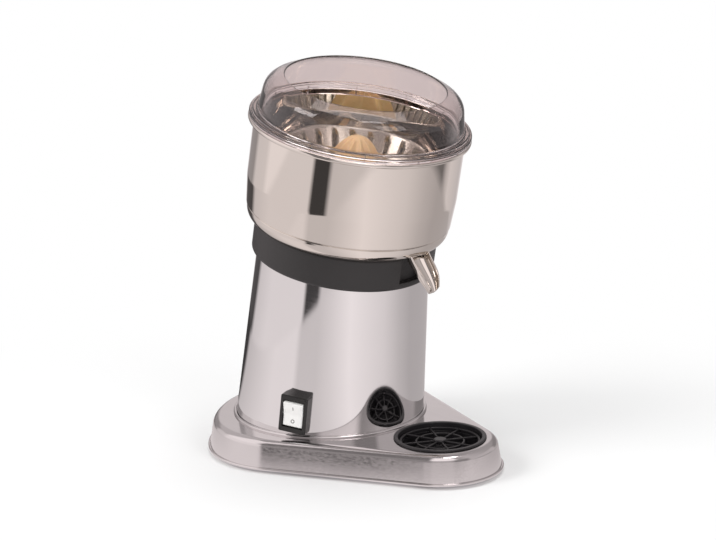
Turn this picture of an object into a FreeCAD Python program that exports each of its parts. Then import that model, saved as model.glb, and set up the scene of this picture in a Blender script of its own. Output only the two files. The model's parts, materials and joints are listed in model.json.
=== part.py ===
import FreeCAD, Part
import math
import os

from FreeCAD import Matrix, Placement, Rotation, Vector

# Citrus press: a leaning motor column on a teardrop base, with a bowl, strainer, reamer and splash dome
# stacked on the motor's tilted axis, and a drip tray under the spout. Millimetres, +Z up, +X from the
# column towards the spout. The origin is on the table, under the middle of the base.

# Base
lip_height = 3.0            # table to the underside of the rolled lip
deck_height = 29.5          # table to the top of the base
nose_radius = 56.0          # round end about the drip tray
corner_radius = 79.0        # the two round corners behind the column
corner_spread = 36.0        # each corner's centre from the middle plane
corner_back = 11.0          # corner centres behind the column's centre
rear_bow = 16.6             # the rear arc's middle behind the two round corners
lip_thickness = 5.0         # rolled lip, both ways
lip_roll = 2.2              # round edges of the lip
lip_stand_out = 1.5         # the lip beyond the wall above it
wall_draft = 4.5            # the wall leans in by this much up to the deck
deck_round = 7.0
base_wall = 3.5
deck_thickness = 4.0
inner_round = 3.5

# Column
tray_reach = 131.4          # column's centre to the drip tray's centre
foot_radius = 85.0
column_top_radius = 76.8
column_wall = 3.0
seat_rim_height = 2.0       # rim of the deck about the column's foot
seat_rim_width = 2.4
seat_rim_gap = 1.6
low_boss_height = 18.0      # screw bosses inside the column, at its foot
high_boss_height = 16.0     # and under its top rim
hole_end = 3.0              # metal left over at the end of each blind screw hole
tilt = 11.5                 # the motor's axis leans this many degrees towards the spout
axis_back = 10.8            # the axis meets the deck this far behind the column's centre
column_top = 156.0          # along the axis, from the deck, as all heights below

# Screws, by their shank radius
screw = 2.5
screw_head = 4.4
screw_head_height = 2.8
screw_clearance = 0.2
boss_wall = 4.0

# Collar and motor plate
collar_overlap = 6.0        # the collar comes down over the column by this much
collar_rise = 23.5          # and stands above it by this much
collar_overhang = 4.8       # its radius beyond the column's top
collar_wall = 3.5
collar_round = 4.0
collar_deck = 4.0
notch_width = 28.0          # flat recess for the spout
notch_depth = 6.6
notch_floor = 0.5           # above the column's top
plate_thickness = 5.0
hub_radius = 16.5
hub_rise = 35.0             # above the motor plate
fit_gap = 0.5               # round the parts that lift off
seat_gap = 0.2              # under the parts that lift off

# Motor
motor_radius = 46.0
motor_wall = 6.0
stack_bottom = 72.0
stack_height = 52.0
air_gap = 0.5
rotor_radius = 26.5
end_ring = 5.0              # cast rings at the rotor's ends
end_ring_step = 4.0
lower_bracket_bottom = 50.0
bracket_disc = 6.0
slot_count = 24
slot_width = 3.2
slot_depth = 9.0
winding_height = 11.0
shaft_radius = 6.0
shaft_tip_radius = 5.0
shaft_bottom = 33.0
shaft_rise = 44.0           # above the hub
running_gap = 0.05
upper_bearing_radius = 16.0
upper_bearing_width = 10.0
lower_bearing_radius = 14.0
lower_bearing_width = 8.0
seal_radius = 11.0
seal_width = 7.0
fan_radius = 34.0
fan_height = 10.0
fan_blades = 9
bolt = 2.0

# Bowl and spout
bowl_sheet = 1.5
bowl_overhang = 8.7         # bowl's foot beyond the collar
bowl_flare = 2.9            # its wall beyond its foot
bowl_foot_round = 11.0
bowl_foot_land = 22.3       # width of the foot, up to which the underside slopes
groove_height = 14.0        # above the bowl's underside
groove_depth = 0.9
groove_step = 1.0           # the wall above the groove stands out by this much
bowl_height = 96.0          # underside to the top of the lip
lip_overhang = 5.4          # lip beyond the wall
lip_bead = 2.1
tube_rise = 18.0            # the bowl's middle tube above the motor's hub
tube_foot = 5.0             # width of the tube's foot, on the flat middle of the floor
floor_rise = 5.0
spout_sheet = 1.4
outlet_radius = 7.0

# Strainer and reamer
strainer_lift = 23.3        # strainer's floor above the bowl's underside
strainer_foot_radius = 50.0
strainer_radius = 68.6
strainer_height = 41.0
strainer_sheet = 1.5
strainer_rim = 3.0
strainer_slots = 24
strainer_slot_width = 2.6
reamer_radius = 32.0
reamer_lift = 5.0           # reamer's underside above the strainer's floor
reamer_flange = 4.0         # up to where the ribs start
reamer_height = 49.5        # of the ribs
reamer_ribs = 10
rib_depth = 0.10            # ribs stand out by this share of the radius on each side
reamer_fullness = 1.43      # power of the height in the cone's outline
pin_radius = 2.0
pin_length = 17.0
pin_rise = 30.0             # above the hub

# Splash dome
dome_sheet = 2.5
dome_flange_inset = 0.4     # from the bowl's lip
dome_ledge = 2.6            # from the flange to the step, and so on inwards
dome_flange = 3.4
dome_step = 2.4
dome_neck = 4.3
dome_lean = 4.1
dome_shoulder = 8.0         # below the mouth
dome_height = 38.3          # bowl's lip to the mouth
dome_round = 14.0
dome_brow = 16.2
dome_skirt = 5.5
dome_ribs = 12
dome_rib_width = 1.2

# Drip tray
cup_radius = 38.5
cup_rim_radius = 41.0
cup_rim_height = 2.5
cup_wall = 2.0
cup_floor = 9.0
cup_ledge = 3.0
grille_depth = 2.0          # grille's top below the deck
grille_thickness = 3.0
grille_rim = 2.5
grille_hub = 7.0
grille_bars = 8
grille_bar = 2.4

# Switch, on the column's side
switch_turn = 21.0          # degrees from -Y towards +X
switch_width = 25.5
switch_length = 36.5
switch_stand_out = 10.0
switch_middle = 23.5        # above the deck
switch_frame = 3.2
switch_inset = 22.0         # how far it reaches into the column
rocker_gap = 0.5
rocker_pin = 1.3
rocker_pin_length = 1.5
rocker_drop = 2.6           # its pivot below the frame's face
rocker_angle = 9.0

# Cord gland, at the back of the column
gland_height = 18.0         # above the deck
gland_boss = 11.0
gland_land = 0.3            # the boss's flat faces stand clear of the leaning wall, inside and out
gland_thread = 7.6
gland_bore = 3.6
gland_hex = 18.0
gland_hex_height = 5.0
gland_dome_radius = 8.5
gland_dome_length = 12.0
nut_hex = 20.0
nut_height = 5.0

# Parts inside the foot
capacitor_radius = 13.0
capacitor_height = 55.0
capacitor_reach = 66.0      # ahead of the column's centre
clip_sheet = 1.2
clip_height = 14.0
terminal_length = 30.0
terminal_width = 16.0
terminal_height = 14.0
terminal_back = 48.0        # behind the column's centre
terminal_side = 30.0        # and beside it
air_hole = 30.0

# Bottom cover and feet
cover_sheet = 1.5
cover_gap = 0.4
cover_slot_width = 4.0
cover_slot_length = 40.0
cover_slots = 7
foot_pad_radius = 8.0
foot_stem = 3.0
foot_head = 4.2
foot_head_height = 2.4

# Worked out from the sizes above
base_length = nose_radius + tray_reach + corner_back + corner_radius + rear_bow
half_length = base_length / 2
tray_x = half_length - nose_radius
column_x = tray_x - tray_reach
corner_x = column_x - corner_back
axis_x = column_x - axis_back
cover_top = lip_height + 1.0 + cover_sheet
collar_bottom = column_top - collar_overlap
collar_top = column_top + collar_rise
collar_radius = column_top_radius + collar_overhang
plate_top = column_top + plate_thickness
hub_top = plate_top + hub_rise
shaft_top = hub_top + shaft_rise
pin_height = hub_top + pin_rise
bowl_seat = collar_top + seat_gap
bowl_foot_radius = collar_radius + bowl_overhang
bowl_radius = bowl_foot_radius + bowl_flare
lip_radius = bowl_radius + lip_overhang
lip_top = bowl_seat + bowl_height
tube_top = hub_top + tube_rise
tube_bore = hub_radius + fit_gap
strainer_floor = bowl_seat + strainer_lift
strainer_top = strainer_floor + strainer_height
reamer_bottom = strainer_floor + reamer_lift
reamer_shoulder = reamer_bottom + reamer_flange
reamer_top = reamer_shoulder + reamer_height
dome_flange_radius = lip_radius - dome_flange_inset
dome_step_radius = dome_flange_radius - dome_ledge
dome_radius = dome_step_radius - dome_neck
dome_shoulder_radius = dome_radius - dome_lean
mouth_radius = dome_shoulder_radius - dome_brow
stack_top = stack_bottom + stack_height
column_inner = foot_radius - column_wall
column_top_inner = column_top_radius - column_wall
plate_screw_circle = column_top_inner - boss_wall
switch_inner_width = switch_width - 2 * switch_frame
switch_inner_length = switch_length - 2 * switch_frame
AXIS = Placement(Vector(axis_x, 0, deck_height), Rotation(Vector(0, 1, 0), tilt))
UP = Vector(0, 0, 1)


def sound(shape):
    """The shape with its faces outwards."""
    if shape.Volume < 0:
        shape.reverse()
    return shape


def rounded_wire(corners, place):
    """Closed wire through corners (a, b) or (a, b, radius); place turns (a, b) into a Vector."""
    flat = [(Vector(c[0], c[1], 0), c[2] if len(c) > 2 else 0.0) for c in corners]
    runs = []
    for i, (corner, radius) in enumerate(flat):
        if not radius:
            runs.append((corner, None, corner))
            continue
        before = (flat[i - 1][0] - corner).normalize()
        after = (flat[(i + 1) % len(flat)][0] - corner).normalize()
        half = before.getAngle(after) / 2
        inward = (before + after).normalize()
        reach = radius / math.tan(half)
        middle = corner + inward * (radius / math.sin(half) - radius)
        runs.append((corner + before * reach, middle, corner + after * reach))
    edges = []
    for i, (start, middle, end) in enumerate(runs):
        if middle is not None:
            edges.append(Part.Arc(*[place(p.x, p.y) for p in (start, middle, end)]).toShape())
        following = runs[(i + 1) % len(runs)][0]
        if (following - end).Length > 1e-6:
            edges.append(Part.makeLine(place(end.x, end.y), place(following.x, following.y)))
    return Part.Wire(edges)


def turned(*corners):
    """Solid of revolution about Z from a section of (radius, height) corners."""
    wire = rounded_wire(corners, lambda r, s: Vector(r, 0, s))
    return sound(Part.Face(wire).revolve(Vector(), UP, 360))


def block(width, length, low, high, radius=0.0):
    """Upright block about Z, width along X and length along Y, with round upright edges."""
    a, b = width / 2, length / 2
    corners = [(-a, -b, radius), (a, -b, radius), (a, b, radius), (-a, b, radius)]
    wire = rounded_wire(corners, lambda x, y: Vector(x, y, low))
    return sound(Part.Face(wire).extrude(UP * (high - low)))


def rod(radius, low, high, x=0.0, y=0.0):
    return Part.makeCylinder(radius, high - low, Vector(x, y, low))


def hexagon(across, low, high):
    radius = across / math.sqrt(3)
    corners = [Vector(radius * math.cos(a), radius * math.sin(a), low)
               for a in (math.radians(60 * i) for i in range(7))]
    return sound(Part.Face(Part.makePolygon(corners)).extrude(UP * (high - low)))


def ring_of(shape, count, first=0.0):
    """Copies of a shape, evenly about Z."""
    copies = []
    for i in range(count):
        copy = shape.copy()
        copy.rotate(Vector(), UP, first + 360.0 * i / count)
        copies.append(copy)
    return copies


def fused(shapes):
    return shapes[0].multiFuse(shapes[1:]).removeSplitter()


def pan_screw(seat, length, shank=screw):
    """Screw that points down from a seat, with a domed head above it."""
    return turned((0, seat - length), (shank, seat - length), (shank, seat), (screw_head, seat),
                  (screw_head, seat + screw_head_height, 1.6), (0, seat + screw_head_height))


def moved(shape, placement):
    return shape.transformed(placement.toMatrix(), True)


def on_axis(shape):
    """From the axis's own frame, with its heights from the deck, into place."""
    return moved(shape, AXIS)


def at(shape, x, y=0.0, z=0.0):
    return moved(shape, Placement(Vector(x, y, z), Rotation()))


# Base

def plan(inset, z):
    """Outline of the base: a nose arc, straight sides, two corner arcs and a wide arc behind, all tangent."""
    nose = nose_radius - inset
    corner = corner_radius - inset
    rear_ahead = (corner_spread ** 2 - rear_bow ** 2) / (2 * rear_bow)
    rear_x = corner_x + rear_ahead
    rear = corner + math.hypot(rear_ahead, corner_spread)
    along = Vector(tray_x - corner_x, -corner_spread, 0)
    turn = math.atan2(along.y, along.x) + math.acos((corner_radius - nose_radius) / along.Length)
    side = Vector(math.cos(turn), math.sin(turn), 0)
    back = Vector(corner_x - rear_x, corner_spread, 0).normalize()
    bend = (side + back).normalize()
    centre = Vector(corner_x, corner_spread, z)
    tip = Vector(tray_x, 0, z)

    def mirror(p):
        return Vector(p.x, -p.y, p.z)

    side_front = tip + side * nose
    side_back = centre + side * corner
    middle = centre + bend * corner
    corner_end = centre + back * corner
    return Part.Wire([
        Part.Arc(mirror(side_front), tip + Vector(nose, 0, 0), side_front).toShape(),
        Part.makeLine(side_front, side_back),
        Part.Arc(side_back, middle, corner_end).toShape(),
        Part.Arc(corner_end, Vector(rear_x - rear, 0, z), mirror(corner_end)).toShape(),
        Part.Arc(mirror(corner_end), mirror(middle), mirror(side_back)).toShape(),
        Part.makeLine(mirror(side_back), mirror(side_front)),
    ])


def slab(inset, low, high):
    return sound(Part.Face(plan(inset, low)).extrude(UP * (high - low)))


def edges_at(shape, z):
    return [e for e in shape.Edges if all(abs(v.Z - z) < 1e-4 for v in e.Vertexes)]


lip_top_z = lip_height + lip_thickness
cover_screw_places = [(tray_x + (cup_radius + nose_radius - lip_thickness) / 2, 0.0)]
cover_screw_places += [(column_x + x, y) for x, y in ((-50.0, 80.0), (74.0, 57.0))]
cover_screw_places += [(x, -y) for x, y in cover_screw_places[1:]]
foot_places = [(x, y) for x, y in ((corner_x - 50.0, 60.0), (tray_x + 16.0, 35.5))]
foot_places += [(x, -y) for x, y in foot_places]
column_screw_circle = column_inner - boss_wall - 1.0


def base_casting():
    lip = slab(0, lip_height, lip_top_z)
    lip = lip.makeFillet(lip_roll, edges_at(lip, lip_height) + edges_at(lip, lip_top_z))
    deck_inset = lip_stand_out + wall_draft
    wall_foot = plan(lip_stand_out, lip_top_z - lip_roll)
    wall = Part.makeLoft([wall_foot, plan(deck_inset, deck_height)], True, True)
    wall = wall.makeFillet(deck_round, edges_at(wall, deck_height))
    ceiling = deck_height - deck_thickness
    hollow = Part.makeLoft([plan(lip_stand_out + base_wall, lip_top_z),
                            plan(deck_inset + base_wall, ceiling)], True, True)
    hollow = hollow.makeFillet(inner_round, edges_at(hollow, ceiling))
    body = lip.fuse(wall).cut(hollow).cut(slab(lip_thickness, 0, lip_top_z))
    rim_inner = foot_radius + seat_rim_gap
    rim_outer = rim_inner + seat_rim_width
    rim_top = deck_height + seat_rim_height
    rim = turned((rim_inner, deck_height - 1.0), (rim_outer, deck_height - 1.0), (rim_outer, rim_top, 1.4),
                 (rim_inner, rim_top, 0.6))
    body = body.fuse(at(rim, column_x))
    boss = screw + boss_wall
    for x, y in cover_screw_places:
        reach = min(boss, (nose_radius - lip_thickness - cup_radius) / 2 - fit_gap) if y == 0 else boss
        body = body.fuse(rod(reach, cover_top, ceiling + 1.0, x, y))
    above = deck_height + 1
    holes = [rod(cup_radius + fit_gap, 0, above, tray_x), rod(air_hole, 0, above, column_x)]
    holes += [rod(screw, cover_top - 1, ceiling - 2, x, y) for x, y in cover_screw_places]
    screw_hole = rod(screw + screw_clearance, 0, above, column_screw_circle)
    holes += [at(h, column_x) for h in ring_of(screw_hole, 4, 45)]
    return body.cut(Part.makeCompound(holes)).removeSplitter()


def bottom_cover():
    inset = lip_thickness + cover_gap
    plate = slab(inset, cover_top - cover_sheet, cover_top)
    slot = block(cover_slot_length, cover_slot_width, 0, deck_height, cover_slot_width / 2 - 0.01)
    pitch = 2 * cover_slot_width
    holes = [at(slot, column_x, pitch * (i - (cover_slots - 1) / 2)) for i in range(cover_slots)]
    holes += [rod(screw + screw_clearance, 0, deck_height, x, y) for x, y in cover_screw_places]
    holes += [rod(foot_stem + screw_clearance, 0, deck_height, x, y) for x, y in foot_places]
    return plate.cut(Part.makeCompound(holes))


def rubber_feet():
    under = cover_top - cover_sheet
    foot = turned((0, 0), (foot_pad_radius, 0, 0.8), (foot_pad_radius - 1.0, under, 0.8),
                  (foot_stem, under), (foot_stem, cover_top), (foot_head, cover_top, 0.4),
                  (foot_stem, cover_top + foot_head_height), (0, cover_top + foot_head_height))
    return [at(foot, x, y) for x, y in foot_places]


def upside_down(shape, z):
    """Turned over about a level line at height z."""
    flipped = shape.copy()
    flipped.rotate(Vector(0, 0, z), Vector(1, 0, 0), 180)
    return flipped


def cover_screws():
    seat = cover_top - cover_sheet
    one = upside_down(pan_screw(seat, 10.0), seat)
    return [at(one, x, y) for x, y in cover_screw_places]


# Column

column_foot = Vector(column_x, 0, deck_height)
column_rise = AXIS.multVec(UP * column_top) - column_foot
column_lean = Vector(column_rise).normalize()


def column_solid(foot, top):
    """Leaning cone, cut level at its foot and square to the motor's axis at its top."""
    taper = (top - foot) / column_rise.Length
    spare = foot
    start = column_foot - column_lean * spare
    length = column_rise.Length + 2 * spare
    cone = Part.makeCone(foot - taper * spare, foot + taper * (length - spare), length, start, column_lean)
    side = 4 * foot
    below = Part.makeBox(side, side, side, Vector(column_x - side / 2, -side / 2, deck_height - side))
    above = on_axis(Part.makeBox(side, side, side, Vector(-side / 2, -side / 2, column_top)))
    return cone.cut(below).cut(above)


def column_side(angle, z):
    """Point on the column's outside, at an angle about its middle line and a height above the table."""
    out = Vector(math.cos(angle), math.sin(angle), 0)
    taper = (column_top_radius - foot_radius) / column_rise.Length
    along = (z - deck_height) / column_lean.z
    share = out.dot(column_lean)
    reach = (foot_radius + taper * along) / (math.sqrt(1 - share ** 2) - taper * share)
    return column_foot + column_lean * along + out * reach


def frame_at(origin, outward, upward):
    """Placement whose Z points outward and Y upward."""
    across = upward.cross(outward).normalize()
    up = outward.cross(across).normalize()
    m = Matrix(across.x, up.x, outward.x, origin.x, across.y, up.y, outward.y, origin.y,
               across.z, up.z, outward.z, origin.z, 0, 0, 0, 1)
    return Placement(m)


switch_angle = math.radians(switch_turn - 90)
switch_point = column_side(switch_angle, deck_height + switch_middle)
switch_rise = switch_point - column_side(switch_angle, deck_height)
SWITCH = frame_at(switch_point, Vector(math.cos(switch_angle), math.sin(switch_angle), 0), switch_rise)
gland_x = column_side(math.pi, deck_height + gland_height - gland_boss).x - gland_land
gland_inner_x = column_side(math.pi, deck_height + gland_height + gland_boss).x + column_wall + gland_land
GLAND = frame_at(Vector(gland_x, 0, deck_height + gland_height), Vector(-1, 0, 0), UP)
gland_depth = gland_inner_x - gland_x
gland_end = -gland_depth - nut_height - 4.0


def column_shell():
    outer = column_solid(foot_radius, column_top_radius)
    shell = outer.cut(column_solid(column_inner, column_top_inner))
    boss = screw + boss_wall
    low_end = deck_height + low_boss_height
    high_end = column_top - high_boss_height
    low_bosses = ring_of(rod(boss, deck_height, low_end, column_screw_circle), 4, 45)
    high_bosses = ring_of(rod(boss, high_end, column_top, plate_screw_circle), 4, 45)
    for piece in [at(b, column_x) for b in low_bosses] + [on_axis(b) for b in high_bosses]:
        shell = shell.fuse(piece.common(outer))
    shell = shell.fuse(moved(rod(gland_boss, -gland_depth, 0), GLAND))
    low_holes = ring_of(rod(screw, deck_height - 1, low_end - hole_end, column_screw_circle), 4, 45)
    high_holes = ring_of(rod(screw, high_end + hole_end, column_top + 1, plate_screw_circle), 4, 45)
    window = block(switch_inner_width + 2.0, switch_inner_length + 2.0, -12, 12, 1.0)
    for holes in ([at(h, column_x) for h in low_holes], [on_axis(h) for h in high_holes],
                  [moved(window, SWITCH)], [moved(rod(gland_thread + screw_clearance, -40, 1), GLAND)]):
        shell = shell.cut(Part.makeCompound(holes))
    return shell


def column_screws():
    under = deck_height - deck_thickness
    one = at(upside_down(pan_screw(under, 16.0), under), column_screw_circle)
    return [at(s, column_x) for s in ring_of(one, 4, 45)]


# Collar, motor plate and motor, in the axis's frame

plate_radius = column_top_radius - 0.4
pillar_circle = 58.0
collar_screw_seat = collar_top - screw_head_height - 0.4
motor_screw_circle = 34.0


def collar():
    inner = collar_radius - collar_wall
    under = collar_top - collar_deck
    body = turned((inner, collar_bottom), (collar_radius, collar_bottom, collar_round * 0.85),
                  (collar_radius, collar_top, 1.5), (hub_radius + 3.0, collar_top), (hub_radius + 3.0, under),
                  (inner, under, 1.0))
    flat = collar_radius - notch_depth
    pad_depth = 3 * collar_wall
    pad = Part.makeBox(pad_depth, notch_width + 2 * collar_wall, under - plate_top,
                       Vector(flat - collar_wall, -notch_width / 2 - collar_wall, plate_top))
    pad = pad.common(rod(collar_radius - 0.5, plate_top, under))
    pillars = ring_of(rod(screw + boss_wall, plate_top, under, pillar_circle), 4, 0)
    notch = Part.makeBox(pad_depth, notch_width, 60, Vector(flat, -notch_width / 2, column_top + notch_floor))
    holes = ring_of(rod(screw + screw_clearance, plate_top - 1, collar_top + 1, pillar_circle), 4, 0)
    holes += ring_of(rod(screw_head + 0.4, collar_screw_seat, collar_top + 1, pillar_circle), 4, 0)
    body = fused([body, pad] + pillars).cut(notch).cut(Part.makeCompound(holes))
    return on_axis(body.removeSplitter())


def collar_screws():
    one = at(pan_screw(collar_screw_seat, collar_screw_seat - column_top), pillar_circle)
    return [on_axis(s) for s in ring_of(one, 4, 0)]


def motor_plate():
    bore = shaft_radius + 1.0
    seat = seal_radius
    flat = column_top_radius - notch_depth + collar_round
    body = turned((bore, column_top), (plate_radius, column_top), (plate_radius, plate_top, 1.0),
                  (hub_radius, plate_top, 3.0), (hub_radius, hub_top, 1.0), (seat, hub_top),
                  (seat, hub_top - seal_width), (bore, hub_top - seal_width))
    holes = ring_of(rod(screw + screw_clearance, 0, plate_top + 1, plate_screw_circle), 4, 45)
    holes += ring_of(rod(screw + screw_clearance, 0, plate_top + 1, motor_screw_circle), 4, 45)
    holes += ring_of(rod(screw, 0, plate_top + 1, pillar_circle), 4, 0)
    corner = Vector(flat, -plate_radius, column_top)
    body = body.cut(Part.makeBox(plate_radius, 2 * plate_radius, plate_thickness, corner))
    return on_axis(body.cut(Part.makeCompound(holes)))


def plate_screws():
    one = at(pan_screw(plate_top, 16.0), plate_screw_circle)
    return [on_axis(s) for s in ring_of(one, 4, 45)]


def motor_screws():
    one = at(pan_screw(plate_top, plate_thickness + bracket_disc - 1.0), motor_screw_circle)
    return [on_axis(s) for s in ring_of(one, 4, 45)]


bolt_circle = motor_radius - motor_wall / 2


def bolt_holes(low, high):
    return Part.makeCompound(ring_of(rod(bolt + 0.05, low, high, bolt_circle), 4, 0))


def windows(low, high):
    """Air windows through a bracket's wall, between its bolts."""
    cut = Part.makeBox(3 * motor_wall, 24.0, high - low, Vector(motor_radius - 2 * motor_wall, -12.0, low))
    return Part.makeCompound(ring_of(cut, 4, 45))


def upper_bracket():
    top = column_top
    inner = motor_radius - motor_wall
    seat = upper_bearing_radius
    boss = seat + boss_wall
    low = top - bracket_disc
    rim = low - upper_bearing_width + 2.0
    bore = shaft_radius + 2.0
    seat_end = rim + upper_bearing_width
    body = turned((inner, stack_top), (motor_radius, stack_top), (motor_radius, top, 1.5), (bore, top),
                  (bore, seat_end), (seat, seat_end), (seat, rim), (boss, rim, 0.8), (boss, low, 1.5),
                  (inner, low, 2.0))
    body = body.cut(windows(stack_top + 6, low - 4)).cut(bolt_holes(stack_top - 1, low + 2))
    holes = ring_of(rod(screw, low - 1, top + 1, motor_screw_circle), 4, 45)
    return on_axis(body.cut(Part.makeCompound(holes)))


def lower_bracket():
    low = lower_bracket_bottom
    inner = motor_radius - motor_wall
    seat = lower_bearing_radius
    boss = seat + boss_wall
    floor = low + bracket_disc
    body = turned((shaft_radius + 2, low), (motor_radius, low, 1.5), (motor_radius, stack_bottom),
                  (inner, stack_bottom), (inner, floor, 2.0), (boss, floor, 1.5),
                  (boss, floor + lower_bearing_width - 1, 0.8), (seat, floor + lower_bearing_width - 1),
                  (seat, floor - 1), (shaft_radius + 2, floor - 1))
    vent = rod(4.0, low - 1, floor + 1, (boss + inner) / 2)
    body = body.cut(Part.makeCompound(ring_of(vent, 8, 22.5))).cut(windows(floor + 3, stack_bottom - 5))
    return on_axis(body.cut(bolt_holes(low - 1, stack_bottom + 1)))


def stator_core():
    bore = rotor_radius + air_gap
    body = rod(motor_radius, stack_bottom, stack_top).cut(rod(bore, stack_bottom, stack_top))
    gap = Part.makeBox(slot_depth, slot_width, stack_height + 2,
                       Vector(bore - 1, -slot_width / 2, stack_bottom - 1))
    return on_axis(body.cut(Part.makeCompound(ring_of(gap, slot_count) + [bolt_holes(0, stack_top + 1)])))


def stator_windings():
    bore = rotor_radius + air_gap + 1.0
    outer = motor_radius - motor_wall - 1.5
    coils = []
    for low in (stack_top, stack_bottom - winding_height):
        coils.append(turned((bore, low, 3.0), (outer, low, 3.0), (outer, low + winding_height, 3.0),
                            (bore, low + winding_height, 3.0)))
    return [on_axis(c) for c in coils]


def through_bolts():
    seat = lower_bracket_bottom
    one = at(turned((0, seat - 3), (3.5, seat - 3, 0.8), (3.5, seat), (bolt, seat), (bolt, stack_top + 16),
                    (0, stack_top + 16)), bolt_circle)
    return [on_axis(b) for b in ring_of(one, 4, 0)]


def ball_bearing(outer, width, low):
    """A bearing closed by its shields, which lie a little below the faces of its two rings."""
    bore = shaft_radius + running_gap
    high = low + width
    land = (outer - bore) * 0.3
    sink = 0.8
    return turned((bore, low), (bore + land, low), (bore + land, low + sink), (outer - land, low + sink),
                  (outer - land, low), (outer, low, 0.5), (outer, high, 0.5), (outer - land, high),
                  (outer - land, high - sink), (bore + land, high - sink), (bore + land, high), (bore, high))


def upper_bearing():
    low = column_top - bracket_disc - upper_bearing_width + 2.0
    return on_axis(ball_bearing(upper_bearing_radius, upper_bearing_width, low))


def lower_bearing():
    low = lower_bracket_bottom + bracket_disc - 1
    return on_axis(ball_bearing(lower_bearing_radius, lower_bearing_width, low))


def shaft_seal():
    low = hub_top - seal_width
    lip = shaft_tip_radius + running_gap
    return on_axis(turned((lip + 2.5, low), (seal_radius, low), (seal_radius, hub_top), (lip + 1.5, hub_top),
                          (lip, hub_top - 1.2), (lip + 1.5, hub_top - 3.5), (lip + 2.5, hub_top - 3.5)))


def drive_shaft():
    step = hub_top - seal_width - 3.0
    body = turned((0, shaft_bottom), (shaft_radius, shaft_bottom, 0.8), (shaft_radius, step),
                  (shaft_tip_radius, step), (shaft_tip_radius, shaft_top, 1.5), (0, shaft_top))
    start = Vector(0, -pin_length / 2, pin_height)
    cross_hole = Part.makeCylinder(pin_radius, pin_length, start, Vector(0, 1, 0))
    return on_axis(body.cut(cross_hole))


def drive_pin():
    half = pin_length / 2
    pin = turned((0, -half), (pin_radius, -half, 0.5), (pin_radius, half, 0.5), (0, half))
    return on_axis(moved(pin, Placement(Vector(0, 0, pin_height), Rotation(Vector(1, 0, 0), 90))))


def rotor():
    inner = rotor_radius - end_ring_step
    low = stack_bottom - end_ring
    high = stack_top + end_ring
    return on_axis(turned((shaft_radius, low), (inner, low, 1.5), (inner, stack_bottom),
                          (rotor_radius, stack_bottom), (rotor_radius, stack_top), (inner, stack_top),
                          (inner, high, 1.5), (shaft_radius, high)))


def cooling_fan():
    """Hub and back disc with curved blades below it, each an arc of sheet."""
    low = shaft_bottom + 1.0
    high = low + fan_height
    hub = turned((shaft_radius, low), (shaft_radius + 4, low, 1.0), (shaft_radius + 4, high + 1.5, 0.5),
                 (shaft_radius, high + 1.5))
    disc = turned((shaft_radius + 3, high), (fan_radius, high), (fan_radius, high + 1.5, 0.5),
                  (shaft_radius + 3, high + 1.5))
    inner = shaft_radius + 3.0
    bow = (fan_radius - inner) * 0.75
    middle = (fan_radius + inner) / 2
    shell = rod(bow + 0.8, low, high, middle, bow * 0.8).cut(rod(bow - 0.8, low, high, middle, bow * 0.8))
    keep = Part.makeBox(fan_radius - inner, bow, fan_height, Vector(inner, -bow * 0.6, low))
    blade = shell.common(keep).common(rod(fan_radius - 0.5, low, high))
    return on_axis(fused([hub, disc] + ring_of(blade, fan_blades)))


# Bowl, strainer, reamer and dome, in the axis's frame

def bowl_outline(offset):
    """The bowl's outline from its foot to under the lip, moved inwards by an offset."""
    groove = bowl_seat + groove_height
    foot = bowl_foot_radius - offset
    wall = bowl_radius - offset
    return [(foot, bowl_seat + offset, bowl_foot_round - offset), (foot, groove - groove_depth),
            (foot - groove_depth, groove), (foot + groove_step, groove + groove_depth),
            (wall - 0.2, groove + 13.0, 40.0), (wall, lip_top - 2 * lip_bead - 8.0)]


def bowl():
    floor = bowl_seat + floor_rise
    flat = tube_bore + tube_foot + 1.0
    low = lip_top - 2 * lip_bead
    under = [(tube_bore, floor), (flat, floor), (bowl_foot_radius - bowl_foot_land, bowl_seat)]
    roll = lip_bead * 0.95
    lip = [(bowl_radius, low, 1.5), (lip_radius - 2 * roll, low), (lip_radius, low, roll),
           (lip_radius, lip_top, roll), (bowl_radius - bowl_sheet, lip_top, 0.6)]
    above = [(flat, floor + bowl_sheet), (tube_bore, floor + bowl_sheet)]
    section = under + bowl_outline(0.0) + lip + bowl_outline(bowl_sheet)[::-1] + above
    return on_axis(turned(*section).cut(outlet()))


def bowl_tube():
    """Tube over the motor's hub, with its foot flat on the bowl's floor."""
    low = bowl_seat + floor_rise + bowl_sheet
    outer = tube_bore + bowl_sheet
    foot = tube_bore + tube_foot
    high = low + bowl_sheet
    return on_axis(turned((tube_bore, low), (foot, low), (foot, high), (outer, high, 1.0), (outer, tube_top),
                          (tube_bore, tube_top)))


def spout_frames():
    """Stations of the spout in the axis's frame: floor (x, height), rim (x, height) and half width."""
    edge = bowl_foot_radius
    top = bowl_seat
    return [((edge - 15.0, top + 1.5), (edge - 7.5, top + 9.5), 12.0),
            ((edge - 2.5, top - 11.0), (edge + 5.2, top - 3.0), 11.5),
            ((edge + 8.0, top - 19.0), (edge + 12.8, top - 10.0), 10.0),
            ((edge + 15.5, top - 25.6), (edge + 18.4, top - 19.0), 6.5)]


def trough_wire(floor, rim, half_width, grow, rise):
    """Half oval from rim to rim round the floor, closed by a straight line; grow shrinks it when negative."""
    base = Vector(floor[0], 0, floor[1])
    top = Vector(rim[0], 0, rim[1])
    up = (top - base).normalize()
    low = base - up * grow
    high = top + up * rise
    a = half_width + grow
    side = Vector(0, a, 0)
    shoulder = low + (top - base) * 0.42
    bottom = Part.Arc(shoulder - side, low, shoulder + side).toShape()
    return Part.Wire([Part.makeLine(high - side, shoulder - side), bottom,
                      Part.makeLine(shoulder + side, high + side), Part.makeLine(high + side, high - side)])


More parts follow.
